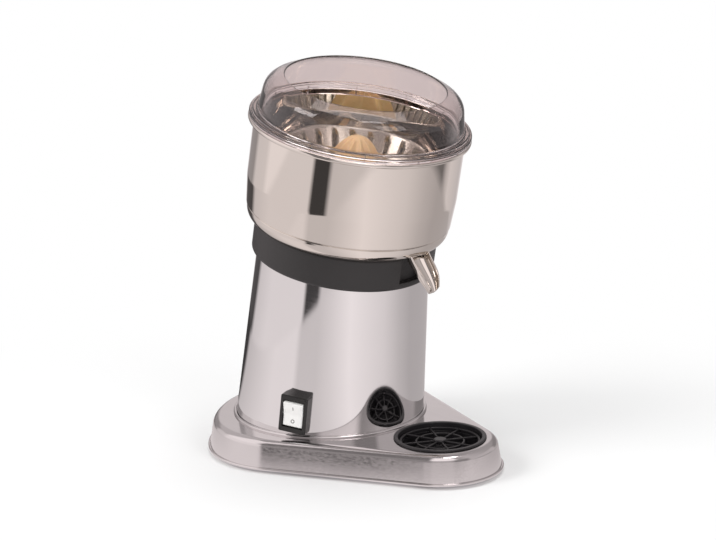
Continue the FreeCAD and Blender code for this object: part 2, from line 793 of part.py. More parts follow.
def outlet():
    """Hole from the bowl's floor into the spout."""
    edge = bowl_foot_radius
    start = Vector(edge - 18.0, 0, bowl_seat + 9.0)
    return Part.makeCylinder(outlet_radius, 22.0, start, Vector(0.72, 0, -0.69))


def bowl_spout():
    stations = spout_frames()
    outer = Part.makeLoft([trough_wire(f, r, w, 0.0, 0.0) for f, r, w in stations], True, False)
    last = stations[-1]
    ends = [tuple(a + (a - b) * 0.2 for a, b in zip(last[i], stations[-2][i])) for i in (0, 1)]
    inner_frames = stations[:-1] + [last, (ends[0], ends[1], last[2] - 0.7)]
    inner = Part.makeLoft([trough_wire(f, r, w, -spout_sheet, 6.0) for f, r, w in inner_frames], True, False)
    envelope = turned((0, bowl_seat), *bowl_outline(0.0)[:1], (bowl_foot_radius, bowl_seat + groove_height),
                      (0, bowl_seat + groove_height))
    trough = sound(outer).cut(sound(inner)).cut(envelope)
    return on_axis(max(trough.Solids, key=lambda s: s.Volume))


def strainer():
    hub = tube_bore + bowl_sheet + 0.4
    outer_hub = hub + 2.0
    sheet = strainer_sheet
    foot = strainer_foot_radius
    wall = strainer_radius
    top = strainer_top
    rim = wall + strainer_rim
    seat = tube_top + seat_gap
    lip = hub_radius - 1.0
    body = turned((lip, seat), (hub, seat), (hub, strainer_floor), (foot, strainer_floor, 4.0),
                  (wall, top - 2.0, 1.0), (rim, top - 2.0, 0.7), (rim, top, 0.9), (wall - sheet, top, 1.0),
                  (foot - sheet * 0.6, strainer_floor + sheet, 3.0), (outer_hub, strainer_floor + sheet),
                  (outer_hub, seat + 2.0, 0.8), (lip, seat + 2.0))
    width = strainer_slot_width
    low = strainer_floor + 9.0
    side = Part.makeBox(wall, width, top - 7.5 - low, Vector(foot * 0.6, -width / 2, low))
    floor_start = Vector(outer_hub + 4.0, -width / 2, strainer_floor - 3)
    under = Part.makeBox(foot - outer_hub - 9.0, width, 12, floor_start)
    cuts = ring_of(side, strainer_slots) + ring_of(under, strainer_slots, 180.0 / strainer_slots)
    return on_axis(body.cut(Part.makeCompound(cuts)))


def reamer_radius_at(height):
    share = (height - reamer_shoulder) / (reamer_top - reamer_shoulder)
    return reamer_radius * math.sqrt(max(1 - share ** reamer_fullness, 0.0))


def rib_wire(height):
    """Closed wave about the axis: one crest for each rib."""
    mean = reamer_radius_at(height)
    count = 6 * reamer_ribs
    points = []
    for i in range(count):
        a = 2 * math.pi * i / count
        r = mean * (1 - rib_depth + rib_depth * math.cos(reamer_ribs * a))
        points.append(Vector(r * math.cos(a), r * math.sin(a), height))
    curve = Part.BSplineCurve()
    curve.interpolate(Points=points, PeriodicFlag=True)
    return Part.Wire([curve.toShape()])


def reamer():
    span = reamer_top - reamer_shoulder
    heights = [reamer_shoulder + span * share for share in (0.0, 0.25, 0.5, 0.7, 0.84, 0.93, 0.98)]
    cone = sound(Part.makeLoft([rib_wire(h) for h in heights], True, False))
    tip_height = heights[-1]
    tip = Part.makeSphere(reamer_radius_at(tip_height) * (1 - rib_depth), Vector(0, 0, tip_height - 1.0))
    flange = turned((0, reamer_bottom), (reamer_radius + 1.5, reamer_bottom, 1.0),
                    (reamer_radius + 1.5, reamer_shoulder + 0.5, 1.5), (0, reamer_shoulder + 0.5))
    hub = tube_bore + bowl_sheet + 0.4 + 2.0
    well = rod(hub + 2.5, reamer_bottom - 1, tube_top + 4.5)
    socket = rod(shaft_tip_radius + 0.2, reamer_bottom, shaft_top + 2.5)
    groove = block(2 * pin_radius + 0.8, pin_length + 1.2, reamer_bottom, pin_height + pin_radius + 0.3)
    body = fused([cone.cut(rod(reamer_radius + 2.0, reamer_bottom, reamer_shoulder - 0.001)), tip, flange])
    return on_axis(body.cut(Part.makeCompound([well])).cut(socket).cut(groove))


def splash_dome():
    low = lip_top + seat_gap
    skirt = bowl_radius - bowl_sheet - fit_gap
    inner = skirt - dome_sheet
    top = low + dome_height
    step = low + dome_flange
    neck = step + dome_step
    shoulder = top - dome_shoulder
    body = turned((dome_flange_radius, low), (dome_flange_radius, step, 1.2), (dome_step_radius, step, 0.6),
                  (dome_step_radius, neck, 1.2), (dome_radius, neck, 1.5),
                  (dome_shoulder_radius, shoulder, dome_round), (mouth_radius, top, 0.8),
                  (mouth_radius, top - dome_sheet, 0.8),
                  (dome_shoulder_radius - dome_sheet, shoulder - dome_sheet * 0.6, dome_round - dome_sheet),
                  (inner, low - dome_skirt, 0.6), (skirt, low - dome_skirt, 0.6), (skirt, low))
    rib = Part.makeBox(2.0, dome_rib_width, dome_skirt - 1.0 + dome_flange,
                       Vector(inner - 1.4, -dome_rib_width / 2, low - dome_skirt + 1.0))
    return on_axis(fused([body] + ring_of(rib, dome_ribs, 15)))


# Drip tray

grille_top = deck_height - grille_depth
cup_inner = cup_radius - cup_wall


def drip_cup():
    low = deck_height + seat_gap
    top = low + cup_rim_height
    ledge = grille_top - grille_thickness - seat_gap
    body = turned((0, cup_floor), (cup_radius - 3, cup_floor, 3.0), (cup_radius, low),
                  (cup_rim_radius, low), (cup_rim_radius, top, 1.8), (cup_inner + 0.6, top),
                  (cup_inner, ledge), (cup_inner - cup_ledge, ledge),
                  (cup_inner - cup_ledge - 1.0, cup_floor + cup_wall), (0, cup_floor + cup_wall))
    return at(body, tray_x)


def drip_grille():
    """Ring and hub joined by bars, sitting on the cup's ledge."""
    high = grille_top
    low = high - grille_thickness
    radius = cup_inner - fit_gap
    inner = radius - grille_rim
    ring = turned((inner, low), (radius, low, 0.6), (radius, high, 0.8), (inner, high, 0.8))
    hub = turned((0, low), (grille_hub, low), (grille_hub, high + 0.8, 1.2), (0, high + 0.8))
    start = grille_hub - 2.0
    bar = Part.makeBox(radius - 1.0 - start, grille_bar, high - low, Vector(start, -grille_bar / 2, low))
    mid = (radius + grille_hub) / 2
    middle_ring = turned((mid - grille_bar / 2, low), (mid + grille_bar / 2, low),
                         (mid + grille_bar / 2, high - 0.8), (mid - grille_bar / 2, high - 0.8))
    return at(fused([ring, hub, middle_ring] + ring_of(bar, grille_bars, 11.0)), tray_x)


# Switch, in its own frame: Z out of the column, Y up

def switch_housing():
    bezel = block(switch_width, switch_length, -4.0, switch_stand_out, 1.5)
    rim = [e for e in bezel.Edges if all(abs(v.Z - switch_stand_out) < 1e-4 for v in e.Vertexes)]
    bezel = bezel.makeFillet(1.0, rim)
    outside = moved(bezel, SWITCH).cut(column_solid(foot_radius, column_top_radius))
    outside = max(outside.Solids, key=lambda s: s.Volume)
    body = moved(block(switch_inner_width, switch_inner_length, -switch_inset, 3.0, 1.0), SWITCH)
    tabs = [moved(at(block(5.0, 1.0, -switch_inset - 8, -switch_inset + 0.5), x, y), SWITCH)
            for x, y in ((0, 8), (0, 0), (0, -8))]
    recess = block(recess_width, recess_length, switch_stand_out - 9.0, switch_stand_out + 1)
    pivot = rocker_bar(rocker_pin + running_gap, recess_width / 2 + rocker_pin_length + running_gap)
    return fused([outside, body] + tabs).cut(moved(recess, SWITCH)).cut(moved(pivot, SWITCH))


recess_width = switch_inner_width - 1.6
recess_length = switch_inner_length - 1.6


def rocker_bar(radius, half):
    bar = Part.makeCylinder(radius, 2 * half, Vector(-half, 0, 0), Vector(1, 0, 0))
    return at(bar, 0, 0, switch_stand_out - rocker_drop)


def switch_rocker():
    """Rocker with two flat faces that meet in a shallow valley, tipped to OFF: its top edge stands out."""
    half_w = recess_width / 2 - rocker_gap
    half_l = recess_length / 2 - rocker_gap - 0.6
    crest = 3.2
    valley = crest - half_l * math.tan(math.radians(rocker_angle))
    corners = [(-half_l, -1.5, 0.8), (-half_l, crest, 0.8), (0, valley, 8.0), (half_l, crest, 0.8),
               (half_l, -1.5, 0.8), (0, -3.4, 5.0)]
    wire = rounded_wire(corners, lambda y, z: Vector(-half_w, y, z))
    rocker = sound(Part.Face(wire).extrude(Vector(2 * half_w, 0, 0)))
    rocker.rotate(Vector(), Vector(1, 0, 0), rocker_angle)
    rocker = at(rocker, 0, 0, switch_stand_out - rocker_drop)
    return moved(rocker.fuse(rocker_bar(rocker_pin, recess_width / 2 + rocker_pin_length)), SWITCH)


# Cord gland, in its own frame: Z out of the column's back

def cord_gland():
    flange = hexagon(gland_hex, 0, gland_hex_height)
    thread = turned((gland_bore, gland_end), (gland_thread, gland_end, 0.8), (gland_thread, 0.5),
                    (gland_bore, 0.5))
    high = gland_hex_height + gland_dome_length
    dome = turned((gland_bore, gland_hex_height - 0.5), (gland_dome_radius, gland_hex_height - 0.5),
                  (gland_dome_radius, high - 5.0, 3.0), (gland_bore + 1.5, high, 0.6), (gland_bore, high))
    return moved(fused([flange, thread, dome]).cut(rod(gland_bore, -60, 60)), GLAND)


def gland_nut():
    nut = hexagon(nut_hex, -gland_depth - nut_height, -gland_depth)
    return moved(nut.cut(rod(gland_thread, -60, 1)), GLAND)


# Parts that stand on the deck inside the column

def capacitor():
    low = deck_height
    can = turned((0, low), (capacitor_radius, low, 1.5), (capacitor_radius, low + capacitor_height, 1.5),
                 (0, low + capacitor_height))
    high = low + capacitor_height
    tags = [Part.makeBox(0.8, 6.3, 8.0, Vector(x, -3.15, high - 0.5)) for x in (-5.4, 4.6)]
    return at(fused([can] + tags), column_x + capacitor_reach)


def capacitor_clip():
    low = deck_height
    inner = capacitor_radius
    outer = inner + clip_sheet
    band = rod(outer, low + 4, low + 4 + clip_height).cut(rod(inner, low + 4, low + 4 + clip_height))
    legs = []
    for sign in (-1, 1):
        y = sign * (outer - clip_sheet / 2)
        legs.append(Part.makeBox(10, clip_sheet, 10, Vector(-5, y - clip_sheet / 2, low)))
        legs.append(Part.makeBox(10, 10, clip_sheet, Vector(-5, min(y, y + sign * 10), low)))
    return at(fused([band] + [leg.cut(rod(inner, 0, 200)) for leg in legs]), column_x + capacitor_reach)


def terminal_block():
    low = deck_height
    body = block(terminal_width, terminal_length, low, low + terminal_height, 1.0)
    pitch = terminal_length / 3
    wells = [rod(2.2, low + terminal_height - 6, low + terminal_height + 1, x, (i - 1) * pitch)
             for i in range(3) for x in (-4.0, 4.0)]
    grooves = [Part.makeBox(terminal_width + 2, 1.0, 4, Vector(-terminal_width / 2 - 1, y - 0.5,
                                                                 low + terminal_height - 3))
               for y in (-pitch / 2, pitch / 2)]
    return at(body.cut(Part.makeCompound(wells + grooves)), column_x - terminal_back, terminal_side)


PIECES = [
    base_casting, bottom_cover, rubber_feet, cover_screws, column_shell, column_screws, collar, collar_screws,
    motor_plate, plate_screws, motor_screws, upper_bracket, lower_bracket, stator_core, stator_windings,
    through_bolts, upper_bearing, lower_bearing, shaft_seal, drive_shaft, drive_pin, rotor, cooling_fan,
    bowl, bowl_tube, bowl_spout, strainer, reamer, splash_dome, drip_cup, drip_grille, switch_housing,
    switch_rocker, cord_gland, gland_nut, capacitor, capacitor_clip, terminal_block,
]

os.makedirs("parts", exist_ok=True)
for piece in PIECES:
    made = piece()
    shape = Part.makeCompound(made) if isinstance(made, list) else made
    solids = shape.Solids
    if len(solids) != (len(made) if isinstance(made, list) else 1) or not shape.isValid():
        print("look at", piece.__name__, len(solids), "solids, valid", shape.isValid())
    if len(solids) == 1:
        shape = solids[0]
    shape.exportStep(f"parts/{piece.__name__}.step")
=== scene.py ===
"""Citrus press: polished surfaces, materials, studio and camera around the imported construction."""

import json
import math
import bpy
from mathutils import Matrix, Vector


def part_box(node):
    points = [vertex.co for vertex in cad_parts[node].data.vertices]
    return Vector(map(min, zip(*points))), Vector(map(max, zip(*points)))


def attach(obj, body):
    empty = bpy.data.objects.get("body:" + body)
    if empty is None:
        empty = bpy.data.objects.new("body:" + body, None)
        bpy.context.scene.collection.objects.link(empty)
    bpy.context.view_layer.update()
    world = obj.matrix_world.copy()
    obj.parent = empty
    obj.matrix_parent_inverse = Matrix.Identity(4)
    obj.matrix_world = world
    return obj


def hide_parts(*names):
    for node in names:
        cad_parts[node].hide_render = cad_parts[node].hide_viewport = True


bl_info = {
    "name": "Citrus press",
    "version": (1, 0, 0),
    "blender": (4, 5, 0),
    "location": "View3D > Sidebar > Citrus press",
    "description": "Makes the shells, bowl, dome, tray, switch and studio of a counter-top citrus press",
    "category": "Add Mesh",
}

import bmesh
import bpy
import numpy as np
from bpy.props import FloatProperty, FloatVectorProperty, IntProperty, PointerProperty
from mathutils import Matrix

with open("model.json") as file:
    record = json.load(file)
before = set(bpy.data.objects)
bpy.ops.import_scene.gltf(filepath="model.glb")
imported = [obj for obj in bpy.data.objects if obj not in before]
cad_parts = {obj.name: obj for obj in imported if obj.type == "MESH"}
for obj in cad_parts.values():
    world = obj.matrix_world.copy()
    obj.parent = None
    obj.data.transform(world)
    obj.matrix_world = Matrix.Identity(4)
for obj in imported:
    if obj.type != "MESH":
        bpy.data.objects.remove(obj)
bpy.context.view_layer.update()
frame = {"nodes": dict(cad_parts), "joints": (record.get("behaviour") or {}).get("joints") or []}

MM = 0.001
TURN = 2 * math.pi
# Round of a corner that states none, and how far outside an arc its guard point lies at most
SOFT_EDGE = 0.3 * MM
GUARD = 0.5 * MM
SMOOTH_ANGLE = math.radians(32)

spin = next(joint for joint in frame["joints"] if joint["name"] == "shaft_spin")
rock = next(joint for joint in frame["joints"] if joint["name"] == "switch_rock")
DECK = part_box("column_shell")[0].z
LEAN = np.array(spin["axis"])
AXIS_FOOT = np.array(spin["pos_m"]) - LEAN * (spin["pos_m"][2] - DECK) / LEAN[2]
AXIS_TURN = math.atan2(LEAN[0], LEAN[2])
AXIS_FRAME = np.array([[LEAN[2], 0, -LEAN[0]], [0, 1, 0], LEAN])
TRAY_CENTRE = sum(corner.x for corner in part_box("drip_cup")) / 2
BASE_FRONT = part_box("base_casting")[1].x
WORLD_FRAME = np.eye(3)
ORIGIN = np.zeros(3)
UPRIGHT = np.array([0, 0, 1.0])
COLUMN_ANGLES = np.arange(320) * TURN / 320


def linear(code):
    """sRGB hex to linear: v / 12.92 up to 0.04045, above it ((v + 0.055) / 1.055) to the power 2.4."""
    value = np.array([int(code[i:i + 2], 16) for i in (1, 3, 5)]) / 255
    light = np.where(value <= 0.04045, value / 12.92, ((value + 0.055) / 1.055) ** 2.4)
    return (*light, 1.0)


def length(name, description, millimetres):
    return FloatProperty(name=name, description=description, default=millimetres * MM, unit="LENGTH",
                         precision=5)


def colour(name, description, code):
    return FloatVectorProperty(name=name, description=description, default=linear(code), size=4,
                               subtype="COLOR", min=0, max=1)


class StandSizes(bpy.types.PropertyGroup):
    nose: length("Nose radius", "Outline's radius about the drip tray", 56.0)
    corner: length("Corner radius", "Outline's radius at the two rear corners", 79.0)
    spread: length("Corner spread", "Rear corners' centres from the middle line", 36.0)
    corner_back: length("Corner setback", "Rear corners' centres behind the column's centre", 11.0)
    reach: length("Tray reach", "Column's centre to the tray's centre", 131.4)
    lip: length("Lip thickness", "Thickness of the rolled lower lip", 2.4)
    lip_low: length("Lip height", "Underside of the lip above the table", 3.0)
    draft: length("Wall draft", "How far the wall leans in up to the deck", 4.5)
    deck_round: length("Deck round", "Round between wall and deck", 7.0)
    deck_thickness: length("Deck thickness", "Metal of the deck", 4.0)
    wall: length("Wall", "Metal of the base's wall", 3.5)
    rim_gap: length("Foot rim gap", "Rim's inside beyond the column's foot", 0.3)
    rim_width: length("Foot rim width", "Width of the rim about the column's foot", 2.4)
    rim_height: length("Foot rim height", "Height of that rim", 2.0)
    foot: length("Column foot", "Column's outside radius at the deck", 85.0)
    top: length("Column top", "Column's outside radius under the collar", 76.8)
    column_wall: length("Column wall", "Metal of the column", 3.0)
    column_top: length("Column height", "Top of the column along the motor's axis", 156.0)
    collar: length("Collar radius", "Outside radius of the collar", 81.6)
    collar_wall: length("Collar wall", "Wall of the collar", 3.5)
    collar_low: length("Collar bottom", "Lower edge along the axis", 150.0)
    collar_high: length("Collar top", "Upper face along the axis", 179.5)
    notch_width: length("Notch width", "Flat recess for the spout", 28.0)
    notch_depth: length("Notch depth", "How far the flat lies in from the round", 6.6)


class BowlSizes(bpy.types.PropertyGroup):
    seat: length("Seat", "Underside of the bowl along the axis", 179.7)
    height: length("Height", "Underside to the top of the lip", 96.0)
    radius: length("Radius", "Outside radius of the wall", 93.2)
    foot: length("Foot radius", "Outside radius below the groove", 90.3)
    foot_round: length("Foot round", "Round between foot and underside", 11.0)
    land: length("Land", "The underside is flat from here outwards", 68.0)
    sheet: length("Sheet", "Thickness of the steel", 1.5)
    groove: length("Groove height", "Pressed groove above the underside", 14.0)
    groove_depth: length("Groove depth", "Depth of the groove", 0.9)
    step: length("Groove step", "Wall above the groove beyond the foot", 1.0)
    lip: length("Lip radius", "Outside radius of the rolled lip", 98.6)
    bead: length("Lip bead", "Half the height of the rolled lip", 2.1)
    chimney: length("Chimney", "Radius of the bowl's middle tube", 17.0)
    chimney_top: length("Chimney top", "Top of that tube along the axis", 214.0)
    floor_rise: length("Floor rise", "Floor at the tube above the underside", 5.0)
    tube_foot: length("Tube foot", "Width of the tube's foot on the floor", 5.0)
    outlet: length("Outlet", "Radius of the hole into the spout", 7.0)
    spout_sheet: length("Spout sheet", "Thickness of the spout", 1.4)


class TopSizes(bpy.types.PropertyGroup):
    strainer_floor: length("Strainer floor", "Underside along the axis", 203.0)
    strainer_foot: length("Strainer foot", "Radius at the floor", 50.0)
    strainer_wall: length("Strainer wall", "Radius at the rim", 68.6)
    strainer_top: length("Strainer top", "Top along the axis", 244.0)
    strainer_rim: length("Strainer rim", "Width of the rolled rim", 3.0)
    slots: IntProperty(name="Slots", description="Slots round the strainer", default=24, min=6)
    slot: length("Slot width", "Width of each slot", 2.6)
    reamer: length("Reamer radius", "Radius of the ribbed cone", 32.0)
    reamer_low: length("Reamer bottom", "Underside along the axis", 208.0)
    shoulder: length("Shoulder", "Where the ribs start", 212.0)
    reamer_top: length("Reamer top", "Tip along the axis", 261.5)
    ribs: IntProperty(name="Ribs", description="Ribs round the reamer", default=10, min=4)
    rib_depth: FloatProperty(name="Rib depth", description="Share of the radius lost between ribs",
                             default=0.2, min=0, max=0.5, subtype="FACTOR")
    fullness: FloatProperty(name="Fullness", description="Power of the height in the cone's outline",
                            default=1.43, min=1, max=3)
    dome: length("Dome radius", "Outside radius above the flange", 91.3)
    flange: length("Flange radius", "Radius of the dome's flange", 98.2)
    flange_step: length("Flange step", "Radius of the step on the flange", 95.6)
    dome_height: length("Dome height", "Bowl's lip to the mouth", 38.3)
    dome_shoulder: length("Dome shoulder", "Radius where the top turns in", 87.2)
    mouth: length("Mouth", "Radius of the open mouth", 71.0)
    dome_sheet: length("Dome sheet", "Thickness of the clear plastic", 1.5)
    skirt: length("Skirt", "How far the skirt reaches into the bowl", 5.5)
    dome_ribs: IntProperty(name="Dome ribs", description="Small ribs inside the skirt", default=12, min=0)


class TraySizes(bpy.types.PropertyGroup):
    cup: length("Cup radius", "Outside radius of the cup", 38.5)
    rim: length("Rim radius", "Outside radius of the cup's rim", 41.0)
    rim_height: length("Rim height", "Rim above the deck", 1.4)
    wall: length("Wall", "Wall of the cup", 2.0)
    floor: length("Floor", "Cup's underside above the table", 9.0)
    ledge: length("Ledge", "Width of the ledge under the grille", 3.0)
    drop: length("Grille depth", "Grille's top below the deck", 2.0)
    thickness: length("Grille thickness", "Height of the grille", 3.0)
    ring: length("Grille ring", "Width of the outer ring", 2.5)
    hub: length("Grille hub", "Radius of the hub", 6.0)
    bar: length("Grille bar", "Width of each bar", 1.7)
    bars: IntProperty(name="Bars", description="Bars from the hub to the ring", default=8, min=3)


class SwitchSizes(bpy.types.PropertyGroup):
    width: length("Width", "Width of the surround", 25.5)
    tall: length("Length", "Height of the surround", 34.0)
    stand_out: length("Stand-out", "Surround's face beyond the column", 10.0)
    border: length("Side border", "Surround beside the well", 2.3)
    end_border: length("End border", "Surround above and below the well", 3.8)
    recess: length("Recess", "Depth of the well for the rocker", 9.0)
    inset: length("Inset", "How far the body reaches into the column", 22.0)
    pivot_drop: length("Pivot drop", "Pivot below the surround's face", 2.6)


class Finishes(bpy.types.PropertyGroup):
    casting: colour("Cast aluminium", "Polished base", "#D9D6D6")
    column: colour("Spun aluminium", "Mirror-polished column", "#E6E5E5")
    steel: colour("Stainless steel", "Polished bowl and spout", "#DED8D1")
    strainer: colour("Satin steel", "Strainer", "#BDBAB0")
    nylon: colour("Black nylon", "Collar, gland", "#262424")
    clear: colour("Clear plastic", "Splash dome", "#F1E9E8")
    acetal: colour("Cream acetal", "Reamer", "#DDBE8E")
    tray: colour("Black tray", "Cup and grille", "#1B191B")
    switch: colour("Black switch", "Surround", "#1C1B1A")
    rocker: colour("White rocker", "Rocker", "#F2F0EE")
    mark: colour("Mark", "Printed marks", "#4A4644")
    rubber: colour("Rubber", "Feet and seal", "#242322")
    floor: colour("Floor", "Studio floor", "#F4F4F4")
    behind: colour("Behind the dome", "What clear plastic shows of the background", "#E0D6D6")


class StudioSettings(bpy.types.PropertyGroup):
    azimuth: FloatProperty(name="Azimuth", description="Camera's angle round the press",
                           default=math.radians(42.68), subtype="ANGLE")
    elevation: FloatProperty(name="Elevation", description="Camera's angle above the table",
                             default=math.radians(15.02), subtype="ANGLE")
    roll: FloatProperty(name="Roll", description="Camera's turn about its view",
                        default=math.radians(-1.22), subtype="ANGLE")
    distance: length("Distance", "Camera to its target", 2221.3)
    target: FloatVectorProperty(name="Target", description="Point that the camera looks at", size=3,
                                default=(-0.00287, 0.00006, 0.16618), subtype="XYZ", unit="LENGTH")
    lens: FloatProperty(name="Lens", description="Focal length on a 36 mm sensor", default=125.57, min=10)


GROUPS = {"press_stand": StandSizes, "press_bowl": BowlSizes, "press_top": TopSizes,
          "press_tray": TraySizes, "press_switch": SwitchSizes, "press_finish": Finishes,
          "press_studio": StudioSettings}


def rounded(corners, steps=9, closed=True):
    """Points through corners (x, y, radius), each corner an arc tangent to its two sides.

    The arc's centre lies on the corner's bisector. Its points are that centre plus the two end spokes,
    weighted by the sines of the shares of the turn. Where two arcs need more than the side between them,
    both shrink. One more point lies just outside each end, so that the flat sides are shaded flat.
    """
    table = np.array([(*c, SOFT_EDGE)[:3] for c in corners], float)
    p = table[:, :2]
    back = np.roll(p, 1, axis=0) - p
    ahead = np.roll(p, -1, axis=0) - p
    near = np.linalg.norm(back, axis=1)
    far = np.linalg.norm(ahead, axis=1)
    u = back / near[:, None]
    v = ahead / far[:, None]
    half = np.arccos(np.clip((u * v).sum(axis=1), -1, 1)) / 2
    wanted = table[:, 2] / np.tan(half)
    room = np.minimum(1, 0.93 * far / (wanted + np.roll(wanted, -1)))
    reach = (wanted * np.minimum(room, np.roll(room, 1)))[:, None]
    middle = (u + v) / np.linalg.norm(u + v, axis=1)[:, None]
    centre = p + middle * reach / np.cos(half)[:, None]
    turn = (math.pi - 2 * half)[:, None, None]
    share = np.linspace(0, 1, steps)[None, :, None]
    first = (p + u * reach - centre)[:, None, :]
    last = (p + v * reach - centre)[:, None, :]
    spokes = np.sin((1 - share) * turn) * first + np.sin(share * turn) * last
    arc = centre[:, None, :] + spokes / np.sin(turn)
    guard = np.minimum(GUARD, 0.03 * np.minimum(near, far))[:, None]
    before = (p + u * (reach + guard))[:, None, :]
    after = (p + v * (reach + guard))[:, None, :]
    rows = np.concatenate([before, arc, after], axis=1)
    if closed:
        return rows.reshape(-1, 2)
    return np.concatenate([p[:1], rows[1:-1].reshape(-1, 2), p[-1:]])


def revolve(profile, count=160, phase=0.0):
    """Grid of the profile's points (radius, height) carried round: (r cos a, r sin a, height)."""
    angle = phase + np.arange(count) * TURN / count
    r = profile[:, :1]
    return np.stack([r * np.cos(angle), r * np.sin(angle), profile[:, 1:] + 0 * angle], axis=-1)


def outline_normals(points):
    """Outward normals of a closed outline that runs anticlockwise: its tangent turned by -90 degrees."""
    along = np.roll(points, -1, axis=0) - np.roll(points, 1, axis=0)
    out = np.stack([along[:, 1], -along[:, 0]], axis=-1)
    return out / np.linalg.norm(out, axis=1)[:, None]


def sweep(points, normals, profile, cap_low=False, cap_high=False):
    """Grid whose row i is the outline moved inwards by profile[i, 0], at height profile[i, 1].

    A cap is one more row with all its points at the outline's middle.
    """
    inset = profile[:, :1, None]
    flat = points[None] - inset * normals[None]
    high = np.broadcast_to(profile[:, 1, None, None], (*flat.shape[:2], 1))
    grid = np.concatenate([flat, high], axis=-1)
    middle = np.append(points.mean(axis=0), 0.0)
    rows = [grid]
    if cap_low:
        rows.insert(0, np.broadcast_to(middle + [0, 0, profile[0, 1]], (1, *grid.shape[1:])))
    if cap_high:
        rows.append(np.broadcast_to(middle + [0, 0, profile[-1, 1]], (1, *grid.shape[1:])))
    return np.concatenate(rows)


def rectangle(width, tall, radius, steps=8):
    """Outline of a rectangle with round corners, and its normals: corner centres plus radius times the
    direction of each quarter turn."""
    angle = (np.arange(4)[:, None] * math.pi / 2 + np.linspace(0, math.pi / 2, steps)).reshape(-1)
    side = np.repeat([1, -1, -1, 1], steps)
    end = np.repeat([1, 1, -1, -1], steps)
    normals = np.stack([np.cos(angle), np.sin(angle)], axis=-1)
    centres = np.stack([side * (width / 2 - radius), end * (tall / 2 - radius)], axis=-1)
    return centres + radius * normals, normals


def pillow(low, high, radius, steps=6):
    """Profile (inset, height) of a slab whose upper and lower edges are quarter rounds."""
    angle = np.linspace(0, math.pi / 2, steps)
    lower = np.stack([radius * (1 - np.sin(angle)), low + radius * (1 - np.cos(angle))], axis=-1)
    upper = np.stack([lower[::-1, 0], high - (lower[::-1, 1] - low)], axis=-1)
    return np.concatenate([lower, upper])


def placed(points, axes=WORLD_FRAME, origin=ORIGIN):
    """Moves points into the row frame: origin plus each coordinate along its axis."""
    return points @ axes + origin


def about_x(angle):
    """Row frame turned about X."""
    cos = math.cos(angle)
    sin = math.sin(angle)
    return np.array([[1, 0, 0], [0, cos, sin], [0, -sin, cos]])


def about_z(angle):
    """Row frame turned about Z."""
    cos = math.cos(angle)
    sin = math.sin(angle)
    return np.array([[cos, sin, 0], [-sin, cos, 0], [0, 0, 1]])


def on_axis(points):
    return placed(points, AXIS_FRAME, AXIS_FOOT)


def quads(grid, wrap_rows=False, wrap_columns=True, keep=None):
    """Points and faces of a grid: each face joins a point, the next in its row and the two below them."""
    rows, columns = grid.shape[:2]
    i = np.arange(rows if wrap_rows else rows - 1)[:, None]
    j = np.arange(columns if wrap_columns else columns - 1)[None, :]
    below = (i + 1) % rows
    beside = (j + 1) % columns
    faces = np.stack([i * columns + j, i * columns + beside, below * columns + beside, below * columns + j],
                     axis=-1)
    faces = faces.reshape(-1, 4) if keep is None else faces[keep]
    return grid.reshape(-1, 3), faces


def mesh_from(name, parts, fill_heights=(), sharp=SMOOTH_ANGLE, outward=True):
    """One mesh of several (points, faces) parts: seams and poles welded, flat openings at the given
    heights filled, normals outwards, smooth except across sharp edges."""
    counts = np.cumsum([0] + [len(points) for points, _ in parts])
    points = np.concatenate([part[0] for part in parts])
    faces = np.concatenate([part[1] + start for part, start in zip(parts, counts)])
    mesh = bpy.data.meshes.new(name)
    mesh.vertices.add(len(points))
    mesh.vertices.foreach_set("co", points.astype(np.float32).ravel())
    mesh.loops.add(faces.size)
    mesh.loops.foreach_set("vertex_index", faces.ravel().astype(np.int32))
    mesh.polygons.add(len(faces))
    mesh.polygons.foreach_set("loop_start", np.arange(0, faces.size, 4, dtype=np.int32))
    mesh.update(calc_edges=True)
    form = bmesh.new()
    form.from_mesh(mesh)
    bmesh.ops.remove_doubles(form, verts=form.verts, dist=0.002 * MM)
    bmesh.ops.dissolve_degenerate(form, edges=form.edges, dist=0.001 * MM)
    for height in fill_heights:
        rim = [e for e in form.edges if e.is_boundary and abs(e.verts[0].co.z - height) < 0.01 * MM]
        bmesh.ops.triangle_fill(form, edges=rim, use_beauty=True, use_dissolve=False)
    if outward:
        bmesh.ops.recalc_face_normals(form, faces=form.faces)
    form.to_mesh(mesh)
    form.free()
    mesh.shade_smooth()
    mesh.set_sharp_from_angle(angle=sharp)
    return mesh


def linked(name, data):
    """New object in the scene with the given data."""
    made = bpy.data.objects.new(name, data)
    bpy.context.scene.collection.objects.link(made)
    return made


def piece(context, name, mesh, material, body, slot, *nodes):
    """Shows a mesh in the named finish as a piece of the press, on its body and in place of the nodes."""
    mesh.materials.append(made_of(context, material))
    made = linked(name, mesh)
    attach(made, body)
    if nodes:
        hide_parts(*nodes)
    return made


def cut_away(mesh, tool):
    """The mesh less the tool's, by an exact boolean on a temporary object."""
    body = linked("cut_body", mesh)
    cutter = linked("cut_tool", tool)
    step = body.modifiers.new("Cut", "BOOLEAN")
    step.object = cutter
    step.operation = "DIFFERENCE"
    step.solver = "EXACT"
    depsgraph = bpy.context.evaluated_depsgraph_get()
    result = bpy.data.meshes.new_from_object(body.evaluated_get(depsgraph))
    for made in (body, cutter):
        bpy.data.objects.remove(made)
    result.materials.clear()
    return result


# Materials

def add(tree, kind, inputs=None, **settings):
    """Adds a node: settings are its own values, inputs its sockets, each a value or an output to link."""
    made = tree.nodes.new(kind)
    for name, value in settings.items():
        setattr(made, name, value)
    for socket, value in (inputs or {}).items():
        if isinstance(value, bpy.types.NodeSocket):
            tree.links.new(value, made.inputs[socket])
        else:
            made.inputs[socket].default_value = value
    return made


def bare_material(name):
    """New material with an empty node tree."""
    made = bpy.data.materials.new(name)
    made.use_nodes = True
    made.node_tree.nodes.clear()
    return made


